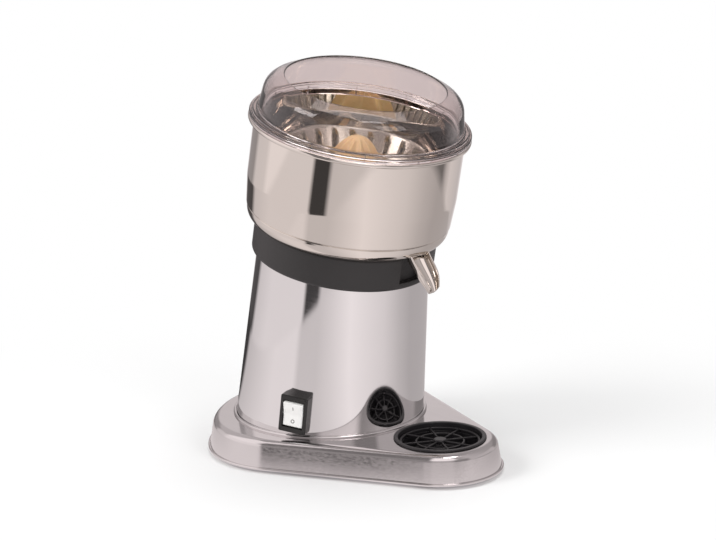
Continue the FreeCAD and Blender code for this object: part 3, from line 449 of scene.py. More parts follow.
def finish(name, base, rough, grit, depth, spread=0.15, tone=0.05, mottle=25 * MM, swell=0.0, metallic=0.0,
           stretch=(1, 1, 1), tilted=False, pitch=0.0, **constants):
    """One finish, on Object coordinates, in metres.

    A fine pattern (noise with features one grit across, or even bands of a pitch) moves the gloss by
    spread and the surface by depth. A broad one moves the colour by tone and the surface by swell.
    Stretch draws the fine pattern out, and tilted turns it to the motor's axis.
    """
    made = bpy.data.materials.get(name)
    if made:
        return made
    made = bare_material(name)
    made.diffuse_color = base
    tree = made.node_tree
    place = add(tree, "ShaderNodeTexCoord").outputs["Object"]
    along = place
    if tilted:
        along = add(tree, "ShaderNodeMapping", {"Vector": place, "Location": tuple(AXIS_FOOT),
                    "Rotation": (0, AXIS_TURN, 0)}, vector_type="TEXTURE").outputs[0]
    along = add(tree, "ShaderNodeMapping", {"Vector": along, "Scale": stretch}).outputs[0]
    broad = add(tree, "ShaderNodeTexNoise", {"Vector": place, "Scale": 1 / mottle, "Detail": 1.5}).outputs[0]
    if pitch:
        bands = {"Vector": along, "Scale": 1 / (pitch * TURN), "Distortion": 0.4}
        fine = add(tree, "ShaderNodeTexWave", bands, bands_direction="Z").outputs["Fac"]
    else:
        fine = add(tree, "ShaderNodeTexNoise", {"Vector": along, "Scale": 1 / grit, "Detail": 3.0,
                   "Roughness": 0.55}).outputs[0]
    gloss = add(tree, "ShaderNodeMapRange", {"Value": fine, "From Min": 0.3, "From Max": 0.7,
                "To Min": rough * (1 - spread), "To Max": rough * (1 + spread)}).outputs[0]
    shade = np.array(base[:3])
    mixed = add(tree, "ShaderNodeMix", {0: fine if pitch else broad, 6: (*(shade * (1 - tone)), 1.0),
                7: (*np.minimum(shade * (1 + tone), 1), 1.0)}, data_type="RGBA").outputs[2]
    rise = add(tree, "ShaderNodeMath", {0: broad, 1: swell}, operation="MULTIPLY").outputs[0]
    height = add(tree, "ShaderNodeMath", {0: fine, 1: depth, 2: rise}, operation="MULTIPLY_ADD").outputs[0]
    bump = add(tree, "ShaderNodeBump", {"Height": height, "Distance": 1.0}).outputs[0]
    shader = add(tree, "ShaderNodeBsdfPrincipled", {"Base Color": mixed, "Metallic": metallic,
                 "Roughness": gloss, "Normal": bump, **constants})
    add(tree, "ShaderNodeOutputMaterial", {"Surface": shader.outputs[0]})
    return made


TURNED = (0.03, 0.03, 1)
STEEL = {"metallic": 1.0, "tilted": True, "mottle": 12 * MM, "spread": 0.25}
FINISHES = {
    # Cast aluminium, ground and buffed along its length: slightly blurred reflections, faint long streaks
    "Buffed cast aluminium": ("casting", 0.13, 1.6 * MM, 0.006 * MM,
                              {"metallic": 1.0, "spread": 0.35, "tone": 0.03, "mottle": 30 * MM,
                               "swell": 0.06 * MM, "stretch": (0.05, 1, 1)}),
    # Spun aluminium, mirror polished: sharp reflections with faint rings from the lathe
    "Mirror-polished spun aluminium": ("column", 0.06, 1.1 * MM, 0.0008 * MM,
                                       {"metallic": 1.0, "spread": 0.3, "tone": 0.02, "mottle": 45 * MM,
                                        "swell": 0.05 * MM, "stretch": (0.02, 0.02, 1), "tilted": True}),
    # Stainless sheet, deep drawn and polished: clear warm reflections with a slight wave
    "Polished stainless sheet": ("steel", 0.045, 1.5 * MM, 0.0006 * MM,
                                 {"metallic": 1.0, "spread": 0.35, "tone": 0.02, "mottle": 38 * MM,
                                  "swell": 0.06 * MM, "stretch": (0.05, 0.05, 1), "tilted": True}),
    # Stainless sheet, perforated and bead blasted: soft highlights and a fine speckle
    "Satin stainless sheet": ("strainer", 0.26, 0.7 * MM, 0.006 * MM, {"metallic": 1.0, "spread": 0.25}),
    # Glass-filled nylon, moulded: matt black, with a fine grain that catches a grey sheen
    "Matt black nylon": ("nylon", 0.5, 0.6 * MM, 0.012 * MM, {"IOR": 1.53}),
    # ABS, moulded: half-matt black with a spark-eroded grain
    "Black ABS": ("tray", 0.36, 0.8 * MM, 0.01 * MM, {"IOR": 1.54}),
    # Nylon, moulded: black and a little glossier, as on bought-in switches
    "Black switch nylon": ("switch", 0.3, 0.9 * MM, 0.006 * MM, {"IOR": 1.53}),
    # Polycarbonate, moulded: clean white, half gloss
    "White rocker polycarbonate": ("rocker", 0.22, 1.2 * MM, 0.003 * MM, {"tone": 0.01, "IOR": 1.585}),
    # Ink, pad printed: thin and flat grey
    "Pad-printed ink": ("mark", 0.45, 0.3 * MM, 0.002 * MM, {}),
    # Rubber, vulcanised: dull, with a coarse soft grain
    "Black rubber": ("rubber", 0.72, 0.9 * MM, 0.02 * MM, {"IOR": 1.52}),
    # Acetal, moulded: waxy cream that lets a little light in
    "Cream acetal": ("acetal", 0.3, 2.5 * MM, 0.01 * MM,
                     {"tone": 0.06, "mottle": 9 * MM, "IOR": 1.48, "Subsurface Weight": 0.25,
                      "Subsurface Radius": (0.004, 0.0025, 0.0012), "Subsurface Scale": 1.0}),
    # Polycarbonate, moulded clear: sharp gloss and a faint body colour
    "Clear polycarbonate": ("clear", 0.02, 6 * MM, 0.002 * MM,
                            {"spread": 0.5, "tone": 0.01, "mottle": 40 * MM, "swell": 0.03 * MM, "IOR": 1.585,
                             "Transmission Weight": 1.0}),
    # Steel, zinc plated: pale, slightly hazy
    "Zinc-plated steel": ("#B9BBBE", 0.28, 0.8 * MM, 0.004 * MM, STEEL),
    # Aluminium, turned: fine rings round the axis
    "Turned aluminium": ("#C3C2C1", 0.25, 0.7 * MM, 0.004 * MM, {**STEEL, "stretch": TURNED}),
    # Aluminium, die cast and left raw: grey and dull with a slight orange peel
    "Die-cast aluminium": ("#A9A9AB", 0.5, 1.5 * MM, 0.02 * MM, STEEL),
    # Steel sheets, stamped and stacked: even dark bands
    "Stacked lamination steel": ("#6E7074", 0.45, 1 * MM, 0.05 * MM,
                                 {**STEEL, "pitch": 0.5 * MM, "tone": 0.2}),
    # Copper wire, enamelled and wound: reddish bands of single turns
    "Enamelled copper wire": ("#B5653A", 0.3, 1 * MM, 0.2 * MM, {**STEEL, "pitch": 0.8 * MM, "tone": 0.25}),
    # Steel, hardened and ground: nearly a mirror, with rings round the axis
    "Ground steel": ("#C8C8CA", 0.15, 0.5 * MM, 0.002 * MM, {**STEEL, "stretch": TURNED}),
    # Nylon, moulded grey: matt
    "Grey nylon": ("#5C5E60", 0.5, 0.8 * MM, 0.012 * MM, {"IOR": 1.53}),
    # Polypropylene can, moulded: plain off-white
    "White capacitor can": ("#DCDCD8", 0.4, 1.2 * MM, 0.006 * MM, {"IOR": 1.49}),
    # Nylon, moulded cream: the usual terminal strip
    "Cream terminal nylon": ("#D6CDB4", 0.45, 0.8 * MM, 0.012 * MM, {"IOR": 1.53}),
}
# Finishes of the nodes that show as they are
NODE_FINISHES = {
    "Zinc-plated steel": ("bottom_cover", "cover_screws", "column_screws", "collar_screws", "plate_screws",
                          "motor_screws", "through_bolts", "capacitor_clip"),
    "Black rubber": ("rubber_feet", "shaft_seal"),
    "Turned aluminium": ("motor_plate",),
    "Die-cast aluminium": ("upper_bracket", "lower_bracket"),
    "Stacked lamination steel": ("stator_core", "rotor"),
    "Enamelled copper wire": ("stator_windings",),
    "Ground steel": ("upper_bearing", "lower_bearing", "drive_shaft", "drive_pin"),
    "Grey nylon": ("cooling_fan",),
    "Matt black nylon": ("cord_gland", "gland_nut"),
    "White capacitor can": ("capacitor",),
    "Cream terminal nylon": ("terminal_block",),
}


def made_of(context, name):
    """The named finish, in the panel's colour or its own; light passes through the clear one."""
    tint, rough, grit, depth, more = FINISHES[name]
    base = linear(tint) if tint.startswith("#") else tuple(getattr(context.scene.press_finish, tint))
    made = finish(name, base, rough, grit, depth, **more)
    tree = made.node_tree
    if "Transmission Weight" in more and "Mix Shader" not in tree.nodes:
        through = add(tree, "ShaderNodeBsdfTransparent", {"Color": base}).outputs[0]
        shadow = add(tree, "ShaderNodeLightPath").outputs["Is Shadow Ray"]
        shader = tree.nodes["Principled BSDF"].outputs[0]
        mixed = add(tree, "ShaderNodeMixShader", {0: shadow, 1: shader, 2: through})
        tree.links.new(mixed.outputs[0], tree.nodes["Material Output"].inputs["Surface"])
    return made


# The stand: base, column and collar

def base_outline(sizes):
    """Base's outline from above, anticlockwise from the nose, with its normals.

    Nose arc, tangent sides, two corner arcs and a wide arc behind. Each point is its arc's centre plus
    the radius times the direction, so an inset only shortens the radius.
    """
    tray = TRAY_CENTRE
    corner_x = tray - sizes.reach - sizes.corner_back
    spare = BASE_FRONT + corner_x - sizes.corner
    rear_ahead = (sizes.spread ** 2 - spare ** 2) / (2 * spare)
    rear_x = corner_x + rear_ahead
    rear = sizes.corner + math.hypot(rear_ahead, sizes.spread)
    apart = math.hypot(tray - corner_x, sizes.spread)
    side = math.atan2(-sizes.spread, tray - corner_x) + math.acos((sizes.corner - sizes.nose) / apart)
    behind = math.atan2(sizes.spread, corner_x - rear_x)
    spans = [(tray, 0.0, sizes.nose, -side, side, 72),
             (corner_x, sizes.spread, sizes.corner, side, behind, 56),
             (rear_x, 0.0, rear, behind, TURN - behind, 48),
             (corner_x, -sizes.spread, sizes.corner, TURN - behind, TURN - side, 56)]
    angles = np.concatenate([np.linspace(s[3], s[4], s[5]) for s in spans])
    radii = np.concatenate([np.full(s[5], s[2]) for s in spans])
    centres = np.concatenate([np.tile([s[0], s[1]], (s[5], 1)) for s in spans])
    normals = np.stack([np.cos(angles), np.sin(angles)], axis=-1)
    return centres + radii[:, None] * normals, normals


def cone_line(angle, taper, lean, start, radius, through, normal):
    """Points where a leaning cone's generators meet a plane.

    A generator is start + h * lean + (radius + taper * h) * spoke; h is what puts it in the plane.
    """
    across = np.array([lean[2], 0, -lean[0]])
    spoke = np.cos(angle)[:, None] * across + np.sin(angle)[:, None] * np.array([0, 1, 0])
    facing = spoke @ normal
    h = (((through - start) @ normal) - radius * facing) / (lean @ normal + taper * facing)
    return start + h[:, None] * lean + (radius + taper * h)[:, None] * spoke


def column_cone(s):
    """Foot and top of the column's middle line, its direction, and how much wider a unit of it gets."""
    foot = np.array([TRAY_CENTRE - s.reach, 0, DECK])
    top = AXIS_FOOT + LEAN * s.column_top
    rise = np.linalg.norm(top - foot)
    return foot, top, (top - foot) / rise, (s.top - s.foot) / rise


def column_section(s):
    """Column's outline where it meets the deck, with its normals: the leaning cone cut by the deck."""
    foot, _, lean, taper = column_cone(s)
    line = cone_line(COLUMN_ANGLES, taper, lean, foot, s.foot, foot, UPRIGHT)[:, :2]
    return line, outline_normals(line)


class PRESS_OT_base(bpy.types.Operator):
    """Makes the polished base casting: outline swept through wall, lip and hollow, with rim and tray hole"""
    bl_idname = "press.base"
    bl_label = "Base casting"

    def execute(self, context):
        s = context.scene.press_stand
        bore = context.scene.press_tray.cup + 0.5 * MM
        lip_top = s.lip_low + s.lip
        wall_foot = 1.93 * MM
        deck_edge = 1.5 * MM + s.draft
        ceiling = DECK - s.deck_thickness
        inner = deck_edge + s.wall
        inner_foot = wall_foot + s.wall
        skin = rounded([(deck_edge + s.deck_round, DECK), (deck_edge, DECK, s.deck_round),
                        (wall_foot, lip_top, 0.25 * MM), (0, lip_top, 1.7 * MM), (0, s.lip_low, 2.2 * MM),
                        (inner_foot, s.lip_low), (inner_foot, lip_top), (inner, ceiling, 3.5 * MM),
                        (inner + 4.5 * MM, ceiling)], steps=12, closed=False)
        points, normals = base_outline(s)
        foot, across = column_section(s)
        near = -s.rim_gap
        far = near - s.rim_width
        rim_top = DECK + s.rim_height
        rim = rounded([(far - 0.8 * MM, DECK), (far, DECK, 0.6 * MM), (far, rim_top, 1.5 * MM),
                       (near, rim_top, 0.5 * MM), (near, DECK)],
                      closed=False)
        air_hole = 30 * MM
        column_x = TRAY_CENTRE - s.reach
        turn = np.arctan2(foot[:, 1], foot[:, 0] - column_x)
        air = [np.stack([column_x + air_hole * np.cos(turn), air_hole * np.sin(turn), level + 0 * turn],
                        axis=-1)[None] for level in (DECK, ceiling)]
        hole = np.array([(bore, DECK), (bore, ceiling)])
        parts = [quads(sweep(points, normals, skin)),
                 quads(np.concatenate([sweep(foot, across, rim), *air])),
                 quads(placed(revolve(hole, 128), origin=(TRAY_CENTRE, 0, 0)))]
        mesh = mesh_from("base_shell", parts, fill_heights=(DECK, ceiling))
        piece(context, "base_shell", mesh, "Buffed cast aluminium", "root", "polished_casting",
              "base_casting")
        return {"FINISHED"}


class PRESS_OT_column(bpy.types.Operator):
    """Makes the mirror-polished column: a leaning cone between the deck and the plane of the collar"""
    bl_idname = "press.column"
    bl_label = "Column"

    def execute(self, context):
        s = context.scene.press_stand
        foot, top, lean, taper = column_cone(s)
        share = np.linspace(0, 1, 25)[:, None, None]
        rings = []
        for radius in (s.foot, s.foot - s.column_wall):
            low = cone_line(COLUMN_ANGLES, taper, lean, foot, radius, foot, UPRIGHT)
            high = cone_line(COLUMN_ANGLES, taper, lean, foot, radius, top, LEAN)
            rings.append(low + (high - low) * share)
        shell = np.concatenate([rings[0], rings[1][::-1]])
        mesh = mesh_from("column_skin", [quads(shell, wrap_rows=True)])
        piece(context, "column_skin", mesh, "Mirror-polished spun aluminium", "root", "polished_column",
              "column_shell")
        return {"FINISHED"}


def set_back(grid, flat, half_width, low, high, blend):
    """Moves points beyond a flat back onto it, inside a window of width and height with soft sides."""
    x, y, z = grid[..., 0], grid[..., 1], grid[..., 2]
    side = np.clip((half_width - np.abs(y)) / blend + 0.5, 0, 1)
    floor = np.clip((z - low) / blend + 0.5, 0, 1) * np.clip((high - z) / blend + 0.5, 0, 1)
    share = side * side * (3 - 2 * side) * floor * floor * (3 - 2 * floor)
    share = share * (x > 0)
    moved = grid.copy()
    moved[..., 0] = x - np.maximum(x - flat, 0) * share
    return moved


class PRESS_OT_collar(bpy.types.Operator):
    """Makes the matt black collar with the flat notch behind the spout"""
    bl_idname = "press.collar"
    bl_label = "Collar"

    def execute(self, context):
        s = context.scene.press_stand
        inner = s.collar - s.collar_wall
        under = s.collar_high - 4 * MM
        hub = 19.5 * MM
        notch_floor = s.column_top + 0.5 * MM
        blend = 0.7 * MM
        corners = [(inner, s.collar_low), (s.collar, s.collar_low, 3.4 * MM),
                   (s.collar, s.collar_high, 1.5 * MM), (hub, s.collar_high), (hub, under),
                   (inner, under, 1.0 * MM)]
        path = rounded(corners, steps=8)
        closed = np.concatenate([path, path[:1]])
        along = np.concatenate([[0], np.cumsum(np.linalg.norm(np.diff(closed, axis=0), axis=1))])
        levels = notch_floor + blend * np.linspace(-0.6, 0.6, 9)
        outer_rows = np.nonzero((closed[:-1, 0] > inner + 1 * MM) & (closed[1:, 0] > inner + 1 * MM)
                                & (closed[:-1, 1] < levels[0]) & (closed[1:, 1] > levels[-1]))[0]
        extra = [along[i] + (levels - closed[i, 1]) for i in outer_rows]
        rows = np.unique(np.round(np.concatenate([along[:-1], *extra]), 9))
        profile = np.stack([np.interp(rows, along, closed[:, i]) for i in (0, 1)], axis=-1)
        half = s.notch_width / 2
        edge = math.asin(half / s.collar)
        fine = edge + np.linspace(-1.0, 1.0, 15) * 0.8 * MM / s.collar
        angle = np.unique(np.concatenate([np.linspace(-fine[0], fine[0], 25), fine, -fine,
                                          np.linspace(fine[-1], TURN - fine[-1], 220)[:-1]]))
        r = profile[:, :1]
        grid = np.stack([r * np.cos(angle), r * np.sin(angle), profile[:, 1:] + 0 * angle], axis=-1)
        flat = s.collar - s.notch_depth
        outer = (profile[:, 0] > inner + 0.5 * MM) | (profile[:, 1] > under + 1.5 * MM)
        notched = set_back(grid, flat, half, notch_floor, s.collar_high + 1, blend)
        lining = set_back(grid, flat - s.collar_wall, half + s.collar_wall, s.column_top + 5 * MM,
                          under + 1 * MM, blend)
        grid = np.where(outer[:, None, None], notched, lining)
        mesh = mesh_from("collar_band", [quads(on_axis(grid), wrap_rows=True)])
        piece(context, "collar_band", mesh, "Matt black nylon", "root", "satin_black", "collar")
        return {"FINISHED"}


# Bowl and spout

def bowl_side(s, offset):
    """Corners of the bowl's side from its foot to under the lip, moved inwards by an offset."""
    groove = s.seat + s.groove
    foot = s.foot - offset
    wall = s.radius - offset
    return [(foot, s.seat + offset, s.foot_round - offset), (foot, groove - s.groove_depth, 0.5 * MM),
            (foot - s.groove_depth, groove, 0.4 * MM), (foot + s.step, groove + s.groove_depth, 0.6 * MM),
            (wall, groove + 26 * MM, 60 * MM)]


class PRESS_OT_bowl(bpy.types.Operator):
    """Makes the polished bowl: one closed section turned about the axis, with the hole into the spout"""
    bl_idname = "press.bowl"
    bl_label = "Bowl"

    def execute(self, context):
        s = context.scene.press_bowl
        floor = s.seat + s.floor_rise
        top = s.seat + s.height
        low = top - 2 * s.bead
        roll = 0.95 * s.bead
        flat = s.chimney + s.tube_foot + 1 * MM
        section = [(s.chimney, floor), (flat, floor, 2 * MM), (s.land, s.seat, 2 * MM)]
        section += bowl_side(s, 0.0)
        section += [(s.radius, low, 1.5 * MM), (s.lip, low, roll), (s.lip, top, roll),
                    (s.radius - s.sheet, top, 0.7 * MM)]
        section += bowl_side(s, s.sheet)[::-1]
        section += [(flat, floor + s.sheet, 2 * MM), (s.chimney, floor + s.sheet)]
        profile = rounded(section, steps=14)
        mesh = mesh_from("bowl_shell", [quads(on_axis(revolve(profile, 224)), wrap_rows=True)])
        start = np.array([s.foot - 18 * MM, 0, s.seat + 9 * MM])
        along = np.array([0.72, 0, -0.69]) / math.hypot(0.72, 0.69)
        frame_of_hole = np.array([np.cross([0, 1, 0], along), [0, 1, 0], along])
        bore = np.array([(0, 0), (s.outlet, 0), (s.outlet, 22 * MM), (0, 22 * MM)])
        cutter = placed(revolve(bore, 48), frame_of_hole, start)
        mesh = cut_away(mesh, mesh_from("outlet", [quads(on_axis(cutter))]))
        piece(context, "bowl_shell", mesh, "Polished stainless sheet", "bowl_unit", "stainless", "bowl")

        tube = s.chimney + s.sheet
        foot = s.chimney + s.tube_foot
        low = floor + s.sheet
        profile = rounded([(s.chimney, low), (foot, low), (foot, low + s.sheet),
                           (tube, low + s.sheet, 1.5 * MM), (tube, s.chimney_top, 0.5 * MM),
                           (s.chimney, s.chimney_top, 0.5 * MM)])
        mesh = mesh_from("middle_tube", [quads(on_axis(revolve(profile, 96)), wrap_rows=True)])
        piece(context, "middle_tube", mesh, "Polished stainless sheet", "bowl_unit", "stainless", "bowl_tube")
        return {"FINISHED"}


def cubic(share, values):
    """The cubic through four values at shares 0, 1/3, 2/3 and 1."""
    knots = np.linspace(0, 1, 4)
    return np.polyval(np.polyfit(knots, values, 3), share)


class PRESS_OT_spout(bpy.types.Operator):
    """Makes the open spout: a rounded trough carried along four stations, cut where it meets the bowl"""
    bl_idname = "press.spout"
    bl_label = "Spout"

    def execute(self, context):
        s = context.scene.press_bowl
        # Four stations from the bowl to the tip, in millimetres: floor and rim, each as distance from the
        # axis and height, and the half width
        edge = s.foot / MM
        top = s.seat / MM
        stations = np.array([(edge - 15.0, top + 1.5, edge - 7.5, top + 9.5, 12.0),
                             (edge - 2.5, top - 11.0, edge + 5.2, top - 3.0, 11.5),
                             (edge + 8.0, top - 19.0, edge + 12.8, top - 10.0, 10.0),
                             (edge + 15.5, top - 25.6, edge + 18.4, top - 19.0, 6.5)]) * MM
        share = np.linspace(0, 1, 40)
        floor_x, floor_z, rim_x, rim_z, half = (cubic(share, stations[:, i])[:, None] for i in range(5))
        tall = np.hypot(rim_x - floor_x, rim_z - floor_z)
        up_x = (rim_x - floor_x) / tall
        up_z = (rim_z - floor_z) / tall
        swing = np.linspace(-math.pi / 2, math.pi / 2, 41)
        power = 2 / 2.5
        wide = np.sign(np.sin(swing)) * np.abs(np.sin(swing)) ** power
        lift = 1 - np.abs(np.cos(swing)) ** power
        t = s.spout_sheet
        outer = (half * wide, tall * lift)
        inner = ((half - t) * wide[::-1], t + (tall - t) * lift[::-1])
        nose = np.linspace(0, math.pi, 7)[1:-1]
        crown = t / 2 * 0.9
        bead = t / 2 * np.cos(nose)
        bead_up = tall + crown * np.sin(nose) - crown * 0.2
        across = np.concatenate([outer[0], half - t / 2 + bead, inner[0], -half + t / 2 + bead], axis=1)
        up = np.concatenate([outer[1], bead_up, inner[1], bead_up], axis=1) - crown * 0.8
        up = np.maximum(up, 0)
        grid = np.stack([floor_x + up * up_x, across, floor_z + up * up_z], axis=-1)
        mesh = mesh_from("spout_trough", [quads(on_axis(grid))])
        form = bmesh.new()
        form.from_mesh(mesh)
        bmesh.ops.holes_fill(form, edges=[e for e in form.edges if e.is_boundary], sides=0)
        bmesh.ops.recalc_face_normals(form, faces=form.faces)
        form.to_mesh(mesh)
        form.free()
        inside = rounded([(0, s.seat - 0.02 * MM)] + bowl_side(s, 0.05 * MM)[:1]
                         + [(s.foot, s.seat + s.groove), (0, s.seat + s.groove)], closed=False, steps=12)
        tool = mesh_from("bowl_inside", [quads(on_axis(revolve(inside, 128)))])
        mesh = cut_away(mesh, tool)
        mesh.shade_smooth()
        mesh.set_sharp_from_angle(angle=SMOOTH_ANGLE)
        piece(context, "spout_trough", mesh, "Polished stainless sheet", "bowl_unit", "stainless",
              "bowl_spout")
        return {"FINISHED"}


# Strainer, reamer and dome

def slot_share(rows, start, end, width):
    """Half width of a slot with round ends at each place along it, as a share of its full half width."""
    inside = np.minimum(rows - start, end - rows)
    near = np.clip(inside / (width / 2), 0, 1)
    return np.where(inside >= 0, np.sqrt(np.maximum(1 - (1 - near) ** 2, 0)), 0), inside > -1e-9


class PRESS_OT_strainer(bpy.types.Operator):
    """Makes the slotted strainer basket from one perforated sheet that is given its thickness"""
    bl_idname = "press.strainer"
    bl_label = "Strainer"

    def execute(self, context):
        s = context.scene.press_top
        sheet = 1.5 * MM
        mid = sheet / 2
        hub = 19.9 * MM
        seat = context.scene.press_bowl.chimney_top + 0.2 * MM
        foot = s.strainer_foot - mid
        wall = s.strainer_wall - mid
        low = s.strainer_floor + mid
        rim = wall + s.strainer_rim
        high = s.strainer_top - mid
        path = rounded([(15.5 * MM, seat + 1 * MM), (hub, seat + 1 * MM, 1 * MM), (hub, low, 1.2 * MM),
                        (foot, low, 3.5 * MM), (wall, high, 1 * MM), (rim, high)], closed=False, steps=8)
        along = np.concatenate([[0], np.cumsum(np.linalg.norm(np.diff(path, axis=0), axis=1))])
        at_height = np.interp([s.strainer_floor + 9 * MM, s.strainer_top - 7.5 * MM],
                              path[path[:, 0] > foot - 3 * MM, 1], along[path[:, 0] > foot - 3 * MM])
        flat = (path[:, 0] > hub + 1.5 * MM) & (path[:, 0] < foot + 0.1 * MM) & (path[:, 1] < low + 0.2 * MM)
        at_radius = np.interp([25 * MM, foot - 7 * MM], path[flat, 0], along[flat])
        ends = np.concatenate([a + side * np.array([0, 0.15, 0.4, 0.8, 1.3]) * MM
                               for a, side in ((at_height[0], 1), (at_height[1], -1),
                                               (at_radius[0], 1), (at_radius[1], -1))])
        rows = np.unique(np.round(np.concatenate([along, ends]), 8))
        radius = np.interp(rows, along, path[:, 0])
        height = np.interp(rows, along, path[:, 1])
        side_share, side_open = slot_share(rows, *at_height, s.slot)
        floor_share, floor_open = slot_share(rows, *at_radius, s.slot)
        pitch = TURN / s.slots
        least = 0.3
        most = pitch * 0.2
        half_a, half_b = (np.minimum(s.slot / 2 * np.maximum(share, least) / radius, most)
                          for share in (side_share, floor_share))
        one = np.stack([-half_a, half_a, 0 * radius + pitch / 4, pitch / 2 - half_b, pitch / 2 + half_b,
                        0 * radius + pitch * 3 / 4], axis=-1)
        angle = (one[:, None, :] + np.arange(s.slots)[None, :, None] * pitch).reshape(len(rows), -1)
        grid = np.stack([radius[:, None] * np.cos(angle), radius[:, None] * np.sin(angle),
                         height[:, None] + 0 * angle], axis=-1)
        keep = np.ones((len(rows) - 1, angle.shape[1]), bool)
        keep[np.ix_(side_open[:-1] & side_open[1:], np.arange(s.slots) * 6)] = False
        keep[np.ix_(floor_open[:-1] & floor_open[1:], np.arange(s.slots) * 6 + 3)] = False
        mesh = mesh_from("strainer_basket", [quads(on_axis(grid), keep=keep)])
        made = piece(context, "strainer_basket", mesh, "Satin stainless sheet", "strainer_unit",
                     "strainer_steel", "strainer")
        thick = made.modifiers.new("Sheet", "SOLIDIFY")
        thick.thickness = sheet
        thick.offset = 0
        thick.use_even_offset = True
        return {"FINISHED"}


class PRESS_OT_reamer(bpy.types.Operator):
    """Makes the ribbed reamer on its flange, hollow underneath for the shaft"""
    bl_idname = "press.reamer"
    bl_label = "Reamer"

    def execute(self, context):
        s = context.scene.press_top
        span = s.reamer_top - s.shoulder
        share = np.minimum(np.sin(np.linspace(0, math.pi / 2, 64)), 0.9995)
        mean = s.reamer * np.sqrt(1 - share ** s.fullness)
        angle = np.arange(320) * TURN / 320
        soft = 0.16
        crest = math.sqrt(1 + soft ** 2) - soft
        wave = (np.sqrt(np.sin(s.ribs * angle / 2) ** 2 + soft ** 2) - soft) / crest
        fade = np.clip((1 - share) / 0.06, 0, 1)[:, None]
        radius = mean[:, None] * (1 - s.rib_depth * wave * fade)
        height = (s.shoulder + span * share)[:, None] + 0 * angle
        cone = np.stack([radius * np.cos(angle), radius * np.sin(angle), height], axis=-1)
        tip = np.broadcast_to([0, 0, s.reamer_top], (1, *cone.shape[1:]))
        flange = s.reamer + 1.5 * MM
        shelf = s.shoulder + 0.5 * MM
        well = 23.4 * MM
        well_top = s.shoulder + 6.5 * MM
        bore = 5.2 * MM
        bore_top = s.shoulder + 30.5 * MM
        collar = rounded([(s.reamer * 0.78, shelf), (flange, shelf, 1.5 * MM),
                          (flange, s.reamer_low, 1.0 * MM), (well, s.reamer_low),
                          (well, well_top, 1.5 * MM), (bore, well_top), (bore, bore_top),
                          (0, bore_top)], closed=False)
        parts = [quads(on_axis(np.concatenate([cone, tip]))), quads(on_axis(revolve(collar, 320)))]
        mesh = mesh_from("reamer_cone", parts, sharp=math.radians(45), outward=False)
        piece(context, "reamer_cone", mesh, "Cream acetal", "reamer_unit", "reamer_cream", "reamer")
        return {"FINISHED"}


class PRESS_OT_dome(bpy.types.Operator):
    """Makes the clear splash dome with its flange, skirt and the small ribs inside the skirt"""
    bl_idname = "press.dome"
    bl_label = "Splash dome"

    def execute(self, context):
        s = context.scene.press_top
        bowl = context.scene.press_bowl
        low = bowl.seat + bowl.height + 0.2 * MM
        skirt = bowl.radius - bowl.sheet - 0.5 * MM
        inner = skirt - s.dome_sheet
        top = low + s.dome_height
        step = low + 3.4 * MM
        neck = step + 2.4 * MM
        shoulder = top - 8 * MM
        t = s.dome_sheet
        turn_in = 14 * MM
        hem = low - s.skirt
        profile = rounded([(s.flange, low, 0.5 * MM), (s.flange, step, 1.2 * MM),
                           (s.flange_step, step, 0.6 * MM), (s.flange_step, neck, 1.2 * MM),
                           (s.dome, neck, 1.5 * MM), (s.dome_shoulder, shoulder, turn_in),
                           (s.mouth, top, 0.9 * MM), (s.mouth, top - t, 0.9 * MM),
                           (s.dome_shoulder - t, shoulder - 0.6 * t, turn_in - t),
                           (inner, hem, 0.6 * MM), (skirt, hem, 0.6 * MM), (skirt, low, 0.3 * MM)], steps=14)
        parts = [quads(on_axis(revolve(profile, 256)), wrap_rows=True)]
        points, normals = rectangle(2.0 * MM, 1.2 * MM, 0.5 * MM, 5)
        rib_low = hem + 1 * MM
        rib_top = rib_low + s.skirt + 2.4 * MM
        rib = sweep(points, normals, pillow(rib_low, rib_top, 0.4 * MM), True, True)
        rib = placed(rib, origin=(inner - 0.4 * MM, 0, 0))
        for i in range(s.dome_ribs):
            parts.append(quads(on_axis(placed(rib, about_z(math.radians(15) + i * TURN / s.dome_ribs)))))
        mesh = mesh_from("dome_shell", parts)
        piece(context, "dome_shell", mesh, "Clear polycarbonate", "dome_unit", "clear_dome", "splash_dome")
        return {"FINISHED"}


# Drip tray

